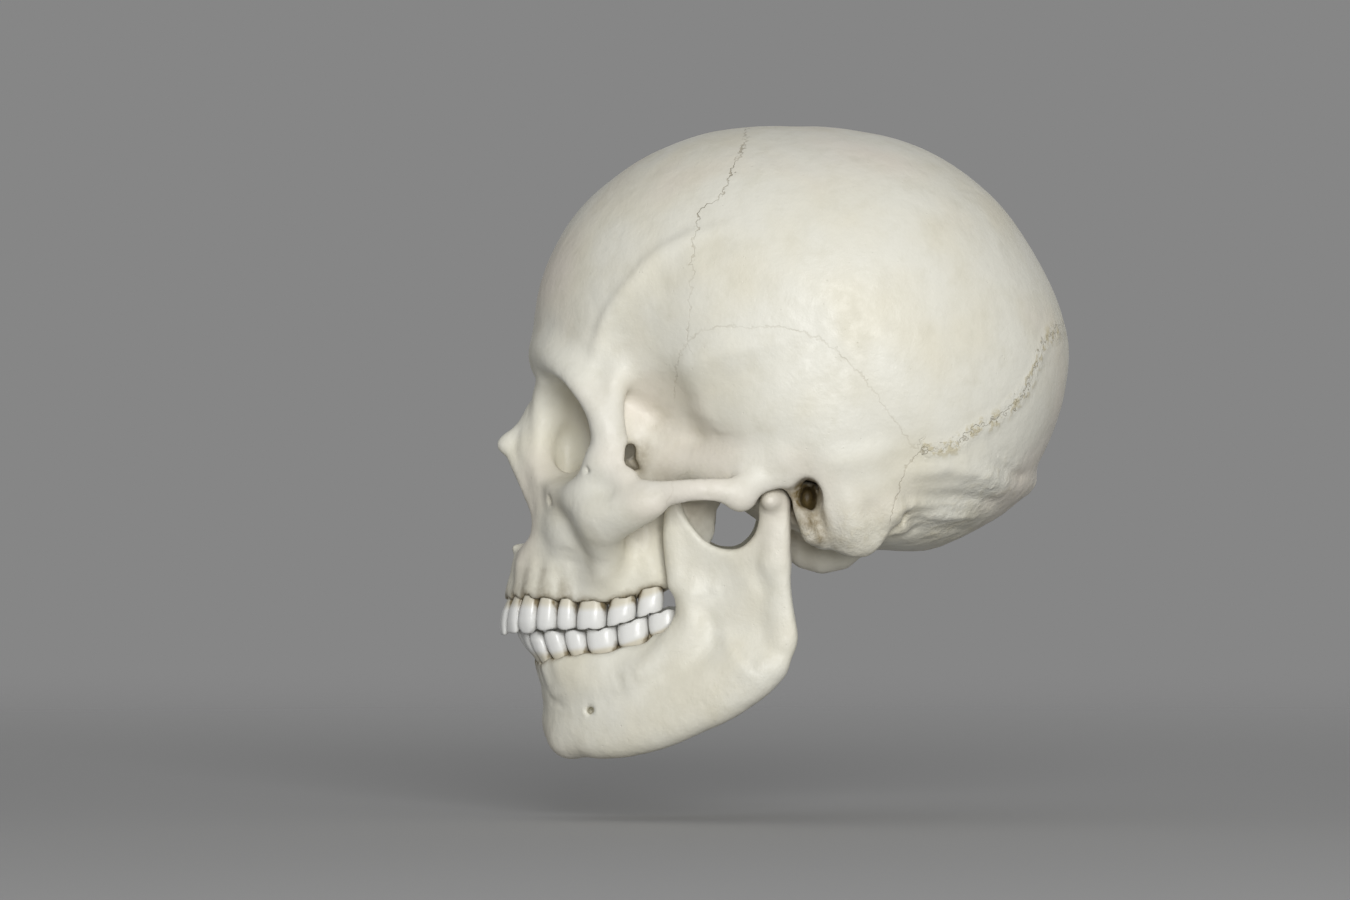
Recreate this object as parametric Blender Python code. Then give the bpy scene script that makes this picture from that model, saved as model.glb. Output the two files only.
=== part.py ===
"""Anatomical skull model: a cranium casting, a hinged mandible and 32 set teeth.

The bones are modelled like clay, as a distance field on a grid: oval masses and
tapering bars are blended together and cut away, then the field is meshed and
thinned out. The face looks along -Y, the skull's left side is +X, and the
origin is the middle of the foramen magnum.
"""
import math

import bmesh
import bpy
import numpy as np
import openvdb

MM = 0.001

# Driving sizes of the cranium
CRANIAL_LENGTH = 180 * MM
CRANIAL_BREADTH = 143 * MM
VAULT_HEIGHT = 120 * MM
VAULT_WALL = 5 * MM
FORAMEN_LENGTH = 35 * MM
FORAMEN_WIDTH = 30 * MM
ORBIT_WIDTH = 37 * MM
ORBIT_HEIGHT = 34 * MM
ORBIT_WALL = 3 * MM
ORBIT_SQUARENESS = 2.5
APERTURE_WIDTH = 24 * MM
SEPTUM = 2.4 * MM
EAR_CANAL_WIDTH = 6.4 * MM
EAR_CANAL_HEIGHT = 11 * MM
PALATE_WALL = 4 * MM
PALATE_CURVE = 101 * MM

# Driving sizes of the mandible
CONDYLE_LENGTH = 19 * MM
CONDYLE_DEPTH = 9 * MM
CONDYLE_HEIGHT = 9 * MM
RAMUS_THICKNESS = 6 * MM
MENTAL_FORAMEN = 2.6 * MM
JAW_OPENING = math.radians(20)

# Clearances and the grids that the two bones are meshed on
JOINT_GAP = 0.8 * MM
SOCKET_GAP = 0.3 * MM
CRANIUM_GRID = 2 * MM
MANDIBLE_GRID = 1.6 * MM
CRANIUM_FACES = 5600
MANDIBLE_FACES = 2200
SWING_STEPS = 5

# How far round a join between two forms is drawn out, from a crease to the temple
CREASE = 1 * MM
EDGE_BLEND = 2 * MM
CRISP_BLEND = 3 * MM
CLOSE_BLEND = 4 * MM
FIRM_BLEND = 5 * MM
SOFT_BLEND = 6 * MM
FULL_BLEND = 8 * MM
BROAD_BLEND = 12 * MM
BODY_BLEND = 16 * MM
TEMPLE_BLEND = 20 * MM

# Places below are counted in steps from the ear point: 143 steps to the cranial
# breadth, 180 to its length and 120 to its height, so they follow those sizes
STEP_SHARES = (1 / 143, 1 / 180, 1 / 120)
ORIGIN_SHARES = (0, 21, -24)

STEP = (CRANIAL_BREADTH * STEP_SHARES[0], CRANIAL_LENGTH * STEP_SHARES[1],
        VAULT_HEIGHT * STEP_SHARES[2])
MEAN_STEP = STEP[1]

# Midline outline of the braincase, from the brow over the crown to the nape and
# back along the base
VAULT_SHARES = (
    (-90.5, 42), (-91, 52), (-89.5, 64), (-85.5, 76), (-78.2, 89), (-67, 100.5),
    (-52, 110.6), (-35, 117.2), (-18.4, 119.8), (-3, 120), (12, 119.3), (32, 115.3),
    (48.6, 107.5), (65.3, 93.6), (78.7, 73.7), (85.4, 58.6), (88.2, 45),
    (86.3, 28.5), (81, 13.4), (74.7, 1), (70, -6.5), (60, -13.4), (42, -21.5),
    (25, -22), (6, -20), (-10, -10), (-24, 0), (-40, 10), (-58, 20), (-74, 27), (-86, 32))
VAULT_CENTRE_SHARES = (8, 50)
# How full the cross-section is, by compass angle in the midline plane
FULLNESS_SHARES = (
    (-180, 2.05), (-155, 2.4), (-132, 3.6), (-95, 3.7), (-65, 2.5), (-20, 2.3), (0, 2.15),
    (90, 2.2), (150, 2), (180, 2.05))
# Midline outline of the brain cavity's floor, above which the walls follow the vault
FLOOR_SHARES = (
    (-95, 44), (-84, 42), (-50, 38), (-37, 33), (-27, 24), (-16, 16), (-6, 2), (2, -12), (10, -15),
    (34, -16), (52, -10), (66, 2), (80, 20), (95, 40))

# Bars of bone, each row a place and a radius
BROW_SHARES = ((0, -84.5, 42, 6), (12, -85.5, 43, 5), (24, -84.5, 42.5, 4.4), (35, -80.5, 39, 4.2),
               (43, -75, 33, 4), (47, -69.6, 25, 3.6), (47.8, -67, 16, 3.8), (47.5, -67.4, 7, 4.8))
ORBIT_RIM_SHARES = (
    (47.5, -68, 7, 4.6), (43.5, -73, -1, 4.4), (35, -79, -3.5, 4), (25, -82.5, -1.5, 3.8),
    (16, -84, 4, 4), (12, -84, 13, 4), (11.5, -82.5, 23, 4.5), (14, -84, 33, 5))
PILLAR_BACK_SHARES = (
    (41, -62, 39, 4), (45, -63.5, 31, 3.6), (47.4, -63.8, 22, 3.2), (48.6, -62.4, 13, 3.6), (50, -61, 4, 5))
CHEEK_SHARES = ((42, -72, -7, 6.5), (47, -69, -9, 7.5), (52, -63, -8, 6.5), (57, -56, -6, 5))
CHEEK_EDGE_SHARES = (
    (39, -70, -15, 4.2), (46.5, -66.5, -16.4, 3.8), (53, -59.4, -13.4, 3.6), (59, -51, -6.4, 3.4))
PILLAR_SHARES = ((44, -67, -14, 5), (37, -66, -22, 5), (32, -67, -30, 5))
ARCH_SHARES = (
    (56, -57, -3.5, 4.4), (61, -48, -2.8, 3.5), (64.5, -39, -1.5, 3), (65.5, -31, -1.4, 3),
    (64.5, -23, -1.6, 3.4), (62.5, -15, 1.4, 2.8), (61.4, -6, 3.6, 2.4), (60.4, 4, 5.6, 2.2),
    (59, 14, 8, 2))
ARCH_ROOT_SHARES = ((49, -30, 7, 3), (56, -19, 7, 4), (60, -8, 9, 4))
TUBERCLE_SHARES = ((62, -22, -4, 4.4), (54, -21, -3, 5), (46, -20, -1, 6))
FOSSA_ROOF_SHARES = ((57, -9, 9, 6), (50, -12, 8, 7), (42, -11, 7, 7))
FRONTAL_PROCESS_SHARES = ((9, -86.5, 29, 4.5), (11.5, -87, 16, 4.5), (14.5, -87, 4, 4.6),
                          (16.5, -85.6, -8, 4.6), (16, -86.4, -17, 4.8), (12, -91.5, -26, 4.6))
NASAL_BONE_SHARES = (
    (0, -84.5, 31, 4.6), (2.2, -88.5, 25, 3.6), (3.2, -94, 18.5, 3.2), (3.6, -100.4, 13.4, 2.6))
NASAL_SIDE_SHARES = (
    (5, -89.5, 24, 3.2), (7.5, -93, 15, 3), (10, -92, 6, 3.2), (12.5, -88.6, -3, 3.4))
NASAL_EDGE_SHARES = (
    (4, -98.8, 14, 2.6), (7, -96.4, 7, 2.4), (10.5, -92.8, -1, 2.2), (13.6, -89.4, -9, 2.3),
    (14, -88.4, -16, 2.6), (11, -89.6, -22.5, 3), (4, -92.4, -24.5, 3))
SPINE_SHARES = ((0, -88, -22.5, 4.5), (0, -94, -22, 2.6), (0, -97, -21.2, 1.4))
ETHMOID_SHARES = ((0, -83, 22, 9.5), (0, -70, 20, 12), (0, -50, 14, 13))
LACRIMAL_SHARES = ((6, -83, 8, 7), (6, -70, 6, 8), (4, -52, 6, 10))
SPHENOID_SHARES = ((0, -46, 14, 12), (0, -30, 8, 11), (0, -16, -1, 8.5), (0, 0, -13, 8))
PTERYGOID_SHARES = (
    (13, -43, 2, 3.4), (15, -40, -8, 2.8), (15, -39.5, -18, 2.6), (15, -40, -26, 2.4))
LATERAL_PLATE_SHARES = (
    (19, -38, 3, 4.2), (22.5, -37.4, -6, 4), (23, -37.2, -15, 3.8), (20, -39, -23, 3))
WING_SHARES = (30, -38, 9, 13, 17, 14)
TUBEROSITY_SHARES = ((24, -56, -2, 10), (26, -53, -16, 9), (28, -52, -28, 7))
PETROUS_SHARES = ((50, 4, -6, 7), (36, -3, -5, 8), (22, -10, -3, 7), (12, -17, 0, 6))
TYMPANIC_SHARES = ((54, 1.5, -5, 6.8), (52, 2.5, -12, 4), (46, 3.5, -17, 2.6))
OCCIPITAL_CONDYLE_SHARES = ((12.5, 3, -21.5, 5), (17, 12, -22.5, 5.6), (19, 19, -20, 4.6))
NUCHAL_SHARES = (
    (0, 73.5, 1, 3.4), (16, 70.5, 1, 2.6), (32, 62, 3, 2.4), (45, 49, 2, 2.4), (52, 34, -2, 3))
DIGASTRIC_SHARES = ((41, 8, -23, 3.5), (42, 22, -20, 3.5), (42, 36, -17, 3))

# Sections of the flattened bars, across, along and up
ARCH_SECTION_SHARES = (0.75, 1, 1.25)
PLATE_SECTION_SHARES = (0.7, 1, 1)
WING_SECTION_SHARES = (0.5, 1.9, 1)
CORONOID_SECTION_SHARES = (0.8, 1, 1)

# Masses, each row a place and three radii
MAXILLA_SHARES = (20, -71, -13, 17, 17, 19)
MASTOID_SHARES = (52, 16.5, -4, 10, 13.5, 19.6)
ORBIT_BLOCK_SHARES = (25, -63, 15, 21, 19, 20)
TEMPLE_SHARES = (73, -56, 8, 31, 17, 44)
INFRATEMPORAL_SHARES = (46, -40, -18, 19, 14, 15)
MIDDLE_FOSSA_SHARES = (34, -28, 24, 20, 22, 15)

# Orbit axis: a place, and the opening's size there as a share of its full size
ORBIT_AXIS_SHARES = (
    (36, -104, 20, 1.05), (31, -84, 18.6, 1), (26, -70, 18.6, 0.88), (18, -54, 20, 0.5),
    (12, -44, 21, 0.2))
ORBIT_FRONT_SHARES = ((14, -78, 0), (42, -64, 0))
# Nasal cavity, from the pear-shaped opening back to the choanae
NASAL_AXIS_SHARES = ((-110, -6, 16, 1), (-92, -5, 16.5, 1), (-80, -3, 18, 0.95), (-64, -4, 17, 0.9),
                     (-48, -8, 13, 0.9), (-36, -12, 12, 0.9))
PEAR_SHARES = ((-1, 0.55), (-0.85, 0.86), (-0.45, 1), (0, 0.82), (0.5, 0.5), (0.85, 0.34), (1, 0.2))
FISSURE_SHARES = ((42, -58.4, 12, 2), (42, -58.6, 8, 2.2), (42, -55, 5.2, 1.7), (42, -50.8, 4.2, 1.1))
FISSURE_SECTION_SHARES = (8, 1, 1)
SEPTUM_SHARES = ((0, -88, -22), (0, -38, 16))
SEPTUM_LEAN_SHARE = 0.125
PALATE_SHARES = (
    (0, -94, -25), (10, -92, -25), (18, -86, -25), (23, -76, -25), (26, -62, -25), (25, -50, -25),
    (14, -46, -25), (0, -44, -25))
FORAMEN_REACH_SHARES = ((0, 0, -40), (0, 42, -4))
EAR_SHARES = (0, 0.6, -4.4)
EAR_TROUGH_SHARES = ((61.6, 0.4, -3, 4.2), (61, 0.8, -9, 4.2), (59, 2, -16, 3.8), (57, 3.4, -21, 3))
EAR_FLARE_SHARES = (0.55, 1.25)
CANAL_REACH_SHARES = (34, 80)

# Dental arches: widths are real sizes, places are steps
TEETH = ("central_incisor", "lateral_incisor", "canine", "first_premolar", "second_premolar",
         "first_molar", "second_molar", "third_molar")
CROWN_WIDTHS = {
    "upper": (8.3 * MM, 6.8 * MM, 7.4 * MM, 6.9 * MM, 6.4 * MM, 9.6 * MM, 9.4 * MM, 8.5 * MM),
    "lower": (5.3 * MM, 5.8 * MM, 6.7 * MM, 6.9 * MM, 7.1 * MM, 10 * MM, 10 * MM, 9.6 * MM)}
CROWN_DEPTHS = {
    "upper": (6.6 * MM, 6.2 * MM, 7.6 * MM, 8.4 * MM, 8.4 * MM, 10.2 * MM, 10.2 * MM, 9.2 * MM),
    "lower": (5.6 * MM, 5.8 * MM, 7 * MM, 7.2 * MM, 7.6 * MM, 9.4 * MM, 9.2 * MM, 8.8 * MM)}
ROOT_LENGTH = 9 * MM
ROOT_UPRIGHT_SHARE = 0.4
ALVEOLAR_WALL = 1 * MM
ALVEOLAR_ROUND = 1.5 * MM
ALVEOLAR_RISE = 18 * MM
ALVEOLAR_DROP = 12 * MM
FRONT_STEP_SHARE = 0.4
ARCH_HUB_SHARES = (0, -62, 0)
ARCH_LEAN_SHARES = {"upper": (0.05, 0.14), "lower": (-0.06, 0.22)}
TOOTH_GAP = 0.25 * MM
BITE_GAP = 0.5 * MM
NECK_SHARE = 0.86
# Middle of each tooth at its neck, and of its cutting or biting end, from the midline back
NECK_PLACE_SHARES = {
    "upper": (
        (4.4, -97, -39.2), (12, -94.6, -38.8), (18.4, -90, -38.6), (22.6, -84.2, -39),
        (25, -78, -39.4), (27.2, -70.4, -40), (29, -61, -38.8), (29.6, -51.8, -35.4)),
    "lower": (
        (2.9, -88.6, -57.2), (8.6, -87.8, -57.4), (14.2, -85.4, -57.4), (18.6, -81.2, -56.4),
        (21.8, -75.6, -55.4), (24.6, -67.2, -54.8), (27, -57, -52.2), (29.2, -47, -48))}
TIP_PLACE_SHARES = {
    "upper": (
        (4.6, -100.8, -50), (12.6, -97.6, -49.2), (18.8, -91.8, -49.2), (22.6, -84.8, -48.2),
        (25, -78.5, -47.8), (27.2, -70.8, -48), (29.2, -61.4, -46.2), (30, -52, -42.6)),
    "lower": (
        (2.9, -96, -48.4), (8.8, -94, -48.4), (14.8, -89.6, -48.8), (18.8, -84, -49.2),
        (21.8, -77.2, -49), (24.6, -68.2, -49.2), (26.8, -57.8, -47.4), (28.8, -47.8, -43.6))}

# Rings of a tooth from root tip to biting end: how far along (root below zero), then
# the width and the depth there as shares of the crown's
TOOTH_RING_SHARES = {
    "incisor": ((-1, 0.34, 0.42), (0, 0.82, 0.9), (0.3, 0.93, 0.94), (0.65, 1, 0.66),
                (0.9, 0.98, 0.38), (1, 0.88, 0.22)),
    "canine": ((-1, 0.34, 0.4), (0, 0.82, 0.9), (0.3, 0.96, 1), (0.65, 1, 0.84),
               (0.88, 0.78, 0.5), (1, 0.34, 0.24)),
    "premolar": ((-1, 0.34, 0.34), (0, 0.84, 0.86), (0.3, 0.96, 0.98), (0.65, 1, 1),
                 (0.9, 0.9, 0.84), (1, 0.66, 0.62)),
    "molar": ((-1, 0.5, 0.44), (0, 0.9, 0.88), (0.3, 0.98, 0.99), (0.65, 1, 1),
              (0.9, 0.95, 0.88), (1, 0.8, 0.7))}
TOOTH_FORMS = ("incisor", "incisor", "canine", "premolar", "premolar", "molar", "molar", "molar")
PIT_SHARES = {"incisor": 0, "canine": 0, "premolar": 0.12, "molar": 0.12}
INNER_NARROWING_SHARE = 0.16
TOOTH_SIDES = 10
TOOTH_FULLNESS = 2.6
# The surface that the back teeth meet on, as places along the skull and heights
BITE_SHARES = (
    (-92, -48.6), (-84, -48.2), (-76, -48), (-69, -47.8), (-62, -46.2), (-55, -43.8), (-46, -41))

# Mandible: bars of bone, each row a place and a radius
LOWER_BORDER_SHARES = (
    (0, -78.8, -80.8, 6.3), (10, -78.4, -82.2, 6.2), (18.5, -73.5, -84.4, 5.8),
    (26, -63.5, -85.2, 5.2), (34, -49.5, -82.6, 4.6), (41, -33.5, -75.8, 4.3),
    (46.5, -19, -67.2, 3.8), (49, -12, -60.6, 3.4))
JAW_WALL_SHARES = (
    (0, -79, -72, 5), (9, -78.2, -72.5, 5), (18, -74, -73, 5.4), (26, -65.5, -73, 6),
    (33, -52.5, -71, 6.2), (39.5, -37, -65, 5.6), (44.5, -24, -58, 4.4))
ALVEOLAR_SHARES = (
    (0, -82, -62, 4), (8, -81.4, -62, 4), (13.6, -79.8, -62, 4.4), (18.4, -77, -61.8, 4.8),
    (22, -73, -61.4, 5.3), (25, -65.5, -60.6, 6), (28, -55.5, -58, 6.2), (30.5, -46, -54, 6),
    (33, -40, -50, 4.8))
OBLIQUE_SHARES = (
    (40.8, -38.4, -36, 2.8), (40.4, -38.4, -46, 3), (38.4, -44, -55, 3.2), (34.5, -56, -63, 2.4))
CHIN_SHARES = (0, -80.4, -81.4, 9, 5.2, 7)
CHIN_CORNER_SHARES = (12, -78.5, -85.5, 7, 6.2, 5.2)
# Side outline of the ramus: coronoid, notch, condyle neck, angle and front edge
RAMUS_SHARES = (
    (-44.6, -4.3), (-41.5, -8.3), (-37.8, -13.5), (-33.5, -18.2), (-28, -20.8), (-22.4, -20.6),
    (-18, -17), (-15.6, -11.5), (-15, -6), (-11, -3.5), (-7, -6), (-6.2, -18), (-6.2, -32),
    (-4.8, -42), (-3.6, -50), (-6, -57), (-11.4, -63.4), (-19, -69), (-30, -75), (-38, -70),
    (-42, -56), (-40.5, -44), (-43.5, -34), (-46.3, -26), (-47.4, -16), (-46.6, -8))
# The ramus leans out: its middle plane is a place across, and its slope back and up
RAMUS_PLANE_SHARES = ((56, 0, 0), (0.32, 0.1))
RAMUS_REACH_SHARES = (30, 62)
CONDYLE_SHARES = (51, -10.5, -4.9)
CONDYLE_TURN = math.radians(-16)
NECK_SHARES = ((50.5, -10.5, -8, 4), (50, -10, -16, 3.6), (49.6, -10.5, -26, 3.2))
BACK_BORDER_SHARES = ((49.6, -9.8, -26, 3.2), (48.6, -9.4, -40, 3.2), (48.6, -8.2, -51, 3.6))
CORONOID_SHARES = ((41.6, -43.5, -7, 1.8), (41, -43.5, -18, 2.6), (40.5, -43, -32, 3))
MENTAL_SHARES = ((26, -71, -75), (40, -73.5, -73.5))

# Corners of the two blocks of clay
CRANIUM_BLOCK_SHARES = ((0, -112, -50), (76, 98, 128))
MANDIBLE_BLOCK_SHARES = ((0, -100, -98), (66, 10, 8))

# How many points draw a curve
BAR_FINENESS = 3
CURVE_POINTS = 40
OUTLINE_POINTS = 90
VAULT_POINTS = 240
ARCH_POINTS = 400

SIDES = {"left": 1, "right": -1}
FAR = 8.0
TINY = 1e-6
BONE_COLOUR = (0.74, 0.71, 0.62)
TOOTH_COLOUR = (0.86, 0.87, 0.88)
BONE_ROUGHNESS = 0.5
TOOTH_ROUGHNESS = 0.25


def place(step_place):
    """A place in steps from the ear point, as metres from the origin."""
    return np.array([(step_place[i] - ORIGIN_SHARES[i]) * STEP[i] for i in range(3)])


def side_places(rows):
    """Rows of place along the skull and height, in steps, as metres from the origin."""
    return np.array([place((0,) + tuple(row))[1:] for row in rows])


def spline(points, count, closed=False):
    """Points of a smooth curve through the given points."""
    pts = np.array(points, float)
    if closed:
        ctrl = np.concatenate([pts[-1:], pts, pts[:2]])
        spans = len(pts)
    else:
        ctrl = np.concatenate([2 * pts[:1] - pts[1:2], pts, 2 * pts[-1:] - pts[-2:-1]])
        spans = len(pts) - 1
    u = np.linspace(0, spans, count, endpoint=not closed)
    i = np.minimum(u.astype(int), spans - 1)
    t = (u - i)[:, None]
    p0, p1, p2, p3 = ctrl[i], ctrl[i + 1], ctrl[i + 2], ctrl[i + 3]
    return (p1 + (p2 - p0) * t / 2 + (2 * p0 - 5 * p1 + 4 * p2 - p3) * t ** 2 / 2
            + (3 * p1 - p0 - 3 * p2 + p3) * t ** 3 / 2)


def smooth_min(a, b, blend):
    """The nearer of two surfaces, with their join rounded over the blend."""
    if blend <= 0:
        return np.minimum(a, b)
    h = np.maximum(blend - np.abs(a - b), 0) / blend
    return np.minimum(a, b) - h * h * blend / 4


def bar(table, stretch=(1, 1, 1), smooth=False):
    """A round bar through rows of place and radius; stretch makes its section oval."""
    points = np.array([place(row) for row in table])
    radii = np.array([row[3] * MEAN_STEP for row in table])
    if smooth:
        both = spline(np.column_stack([points, radii]), BAR_FINENESS * (len(table) - 1) + 1)
        points, radii = both[:, :3], both[:, 3]
    s = np.array(stretch, float)
    low = (points - radii[:, None] * s).min(0)
    high = (points + radii[:, None] * s).max(0)

    def field(x, y, z):
        best = None
        for a, b, ra, rb in zip(points[:-1], points[1:], radii[:-1], radii[1:]):
            d = (b - a) / s
            px, py, pz = (x - a[0]) / s[0], (y - a[1]) / s[1], (z - a[2]) / s[2]
            t = np.clip((px * d[0] + py * d[1] + pz * d[2]) / (d @ d), 0, 1)
            away = np.sqrt((px - t * d[0]) ** 2 + (py - t * d[1]) ** 2 + (pz - t * d[2]) ** 2)
            away -= ra + (rb - ra) * t
            best = away if best is None else np.minimum(best, away)
        return best * s.min()
    return field, low, high


def bore(places, width, section=(1, 1, 1)):
    """A bar of one real width through rows of place."""
    return bar([row + (width / 2 / MEAN_STEP,) for row in places], section)


def mass(centre, radii, turn=0.0):
    """An oval mass, turned about the vertical."""
    c, r = np.array(centre, float), np.array(radii, float)
    ca, sa = math.cos(turn), math.sin(turn)
    reach = np.array([abs(ca) * r[0] + abs(sa) * r[1], abs(sa) * r[0] + abs(ca) * r[1], r[2]])

    def field(x, y, z):
        dx, dy = x - c[0], y - c[1]
        p = (ca * dx + sa * dy) / r[0]
        q = (-sa * dx + ca * dy) / r[1]
        w = (z - c[2]) / r[2]
        size = np.sqrt(p ** 2 + q ** 2 + w ** 2)
        slope = np.sqrt((p / r[0]) ** 2 + (q / r[1]) ** 2 + (w / r[2]) ** 2)
        return size * (size - 1) / np.maximum(slope, TINY)
    return field, c - reach, c + reach


def step_mass(row, turn=0.0):
    """An oval mass given in steps: a place and three radii."""
    return mass(place(row[:3]), [row[3 + i] * STEP[i] for i in range(3)], turn)


def outline_distance(outline, u, v):
    """Signed distance to a closed outline in its own plane."""
    best = None
    inside = np.zeros(np.broadcast(u, v).shape, bool)
    for a, b in zip(outline, np.roll(outline, -1, 0)):
        d = b - a
        t = np.clip(((u - a[0]) * d[0] + (v - a[1]) * d[1]) / (d @ d), 0, 1)
        away = (u - a[0] - t * d[0]) ** 2 + (v - a[1] - t * d[1]) ** 2
        best = away if best is None else np.minimum(best, away)
        if a[1] != b[1]:
            crossing = (b[0] - a[0]) * (v - a[1]) / (b[1] - a[1]) + a[0]
            inside ^= ((a[1] > v) != (b[1] > v)) & (u < crossing)
    return np.where(inside, -np.sqrt(best), np.sqrt(best))


class Clay:
    """A block of field values over the skull's left half; below zero is bone."""

    def __init__(self, low, high, grid):
        self.grid = grid
        self.low = np.array([0.0, low[1], low[2]])
        counts = np.ceil((np.array(high) - self.low) / grid).astype(int)
        self.axes = [self.low[i] + (np.arange(counts[i]) + 0.5) * grid for i in range(3)]
        self.field = np.full(counts, FAR, np.float32)

    def blend_in(self, form, blend, sign):
        """Adds a form for sign 1, or cuts it away for sign -1, with a rounded join."""
        function, low, high = form
        margin = blend + 3 * self.grid
        window = []
        for i in range(3):
            first = int(np.searchsorted(self.axes[i], low[i] - margin))
            last = int(np.searchsorted(self.axes[i], high[i] + margin))
            if last <= first:
                return
            window.append(slice(first, last))
        window = tuple(window)
        x, y, z = (self.axes[i][window[i]] for i in range(3))
        values = function(x[:, None, None], y[None, :, None], z[None, None, :])
        self.field[window] = sign * smooth_min(sign * self.field[window], values, blend)

    def add(self, form, blend=0.0):
        self.blend_in(form, blend, 1)

    def cut(self, form, blend=0.0):
        self.blend_in(form, blend, -1)

    def form(self):
        """This clay as one form, read between its own grid points."""
        high = np.array([axis[-1] for axis in self.axes])

        def field(x, y, z):
            x, y, z = np.broadcast_arrays(np.abs(x), y, z)
            value = 0
            spots = [np.clip((p - self.axes[i][0]) / self.grid, 0, len(self.axes[i]) - 1 - TINY)
                     for i, p in enumerate((x, y, z))]
            first = [spot.astype(int) for spot in spots]
            for corner in np.ndindex(2, 2, 2):
                weight = 1
                for i in range(3):
                    part = spots[i] - first[i]
                    weight = weight * (part if corner[i] else 1 - part)
                value = value + weight * self.field[tuple(first[i] + corner[i] for i in range(3))]
            return value
        return field, self.low, high

    def mesh(self, name):
        """Both halves of the clay as one closed mesh."""
        whole = np.concatenate([self.field[::-1], self.field], axis=0)
        grid = openvdb.FloatGrid(FAR)
        grid.copyFromArray(np.clip(whole / self.grid, -FAR, FAR).astype(np.float32))
        points, triangles, quads = grid.convertToPolygons(0.0, 0.0)
        low = np.array([-len(self.axes[0]) * self.grid, self.low[1], self.low[2]])
        points = low + (np.asarray(points, float) + 0.5) * self.grid
        data = bpy.data.meshes.new(name)
        data.from_pydata(points.tolist(), [], np.asarray(triangles).tolist() + np.asarray(quads).tolist())
        work = bmesh.new()
        work.from_mesh(data)
        bmesh.ops.triangulate(work, faces=work.faces)
        bmesh.ops.recalc_face_normals(work, faces=work.faces)
        keep_largest(work)
        work.to_mesh(data)
        work.free()
        return data


def keep_largest(work):
    """Drops any crumb that the cuts left beside the bone."""
    left = set(work.verts)
    islands = []
    while left:
        stack = [left.pop()]
        island = set(stack)
        while stack:
            for edge in stack.pop().link_edges:
                for other in edge.verts:
                    if other in left:
                        left.discard(other)
                        island.add(other)
                        stack.append(other)
        islands.append(island)
    islands.sort(key=len)
    for island in islands[:-1]:
        bmesh.ops.delete(work, geom=list(island), context="VERTS")


def braincase(inset):
    """The vault: a midline outline swelled out to the cranial breadth."""
    centre = side_places([VAULT_CENTRE_SHARES])[0]
    outline = spline(side_places(VAULT_SHARES), VAULT_POINTS, closed=True)
    away = outline - centre
    angles = np.arctan2(away[:, 1], away[:, 0])
    order = np.argsort(angles)
    angles, radii = angles[order], np.hypot(away[:, 0], away[:, 1])[order] - inset
    half = CRANIAL_BREADTH / 2 - inset
    fullness = np.radians([row[0] for row in FULLNESS_SHARES]), [row[1] for row in FULLNESS_SHARES]

    def field(x, y, z):
        dy, dz = y - centre[0], z - centre[1]
        angle = np.arctan2(dz, dy)
        reach = np.interp(angle, angles, radii, period=2 * math.pi)
        power = np.interp(angle, *fullness)
        share = ((np.hypot(dy, dz) / reach) ** power + (x / half) ** power) ** (1 / power)
        share = np.maximum(share, TINY)
        return np.sqrt(x ** 2 + dy ** 2 + dz ** 2) * (1 - 1 / share)
    low = np.array([0, outline[:, 0].min(), outline[:, 1].min()])
    high = np.array([half, outline[:, 0].max(), outline[:, 1].max()])
    return field, low, high


def brain_cavity():
    """The space inside the vault, above the cranial floor."""
    shell, low, high = braincase(VAULT_WALL)
    floor = spline(side_places(FLOOR_SHARES), OUTLINE_POINTS)

    def field(x, y, z):
        rise = z - np.interp(y, floor[:, 0], floor[:, 1])
        return -smooth_min(-shell(x, y, z), rise, FULL_BLEND)
    return field, low, high


def squared_tube(axis, half_width, half_height, power):
    """A tube of squarish section along rows of place and size share."""
    points = np.array([place(row) for row in axis])
    sizes = np.array([row[3] for row in axis])
    reach = max(half_width, half_height) * max(sizes)

    def field(x, y, z):
        size = np.interp(y, points[:, 1], sizes)
        cx = np.interp(y, points[:, 1], points[:, 0])
        cz = np.interp(y, points[:, 1], points[:, 2])
        p, q = np.abs(x - cx) / half_width, np.abs(z - cz) / half_height
        ring = (p ** power + q ** power) ** (1 / power)
        side = (ring - size) * min(half_width, half_height)
        ends = np.maximum(points[0, 1] - y, y - points[-1, 1])
        return np.maximum(side, ends)
    return field, points.min(0) - reach, points.max(0) + reach


def nasal_cavity():
    """The pear-shaped opening and the passage behind it, beside the septum."""
    rows = np.array(NASAL_AXIS_SHARES, float)
    ys, middles = side_places(rows[:, :2]).T
    halves = rows[:, 2] * STEP[2]
    pear = np.array(PEAR_SHARES)

    def field(x, y, z):
        middle, half = np.interp(y, ys, middles), np.interp(y, ys, halves)
        up = (z - middle) / half
        width = np.interp(up, pear[:, 0], pear[:, 1]) * APERTURE_WIDTH / 2 * np.interp(y, ys, rows[:, 3])
        side = np.maximum(x - width, (np.abs(up) - 1) * half)
        ends = np.maximum(ys[0] - y, y - ys[-1])
        return np.maximum(side, ends)
    low = np.array([0, ys[0], (middles - halves).min()])
    return field, low, np.array([APERTURE_WIDTH, ys[-1], (middles + halves).max()])


def septum():
    """The thin wall between the two halves of the nasal cavity, set back from the opening."""
    low, high = (place(row) for row in SEPTUM_SHARES)

    def field(x, y, z):
        rise = (z - low[2]) / (high[2] - low[2])
        front = low[1] - rise * (high[1] - low[1]) * SEPTUM_LEAN_SHARE
        ends = np.maximum(front - y, y - high[1])
        return np.maximum(np.maximum(x - SEPTUM / 2, ends), np.maximum(low[2] - z, z - high[2]))
    return field, low, high + np.array([SEPTUM, 0, 0])


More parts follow.
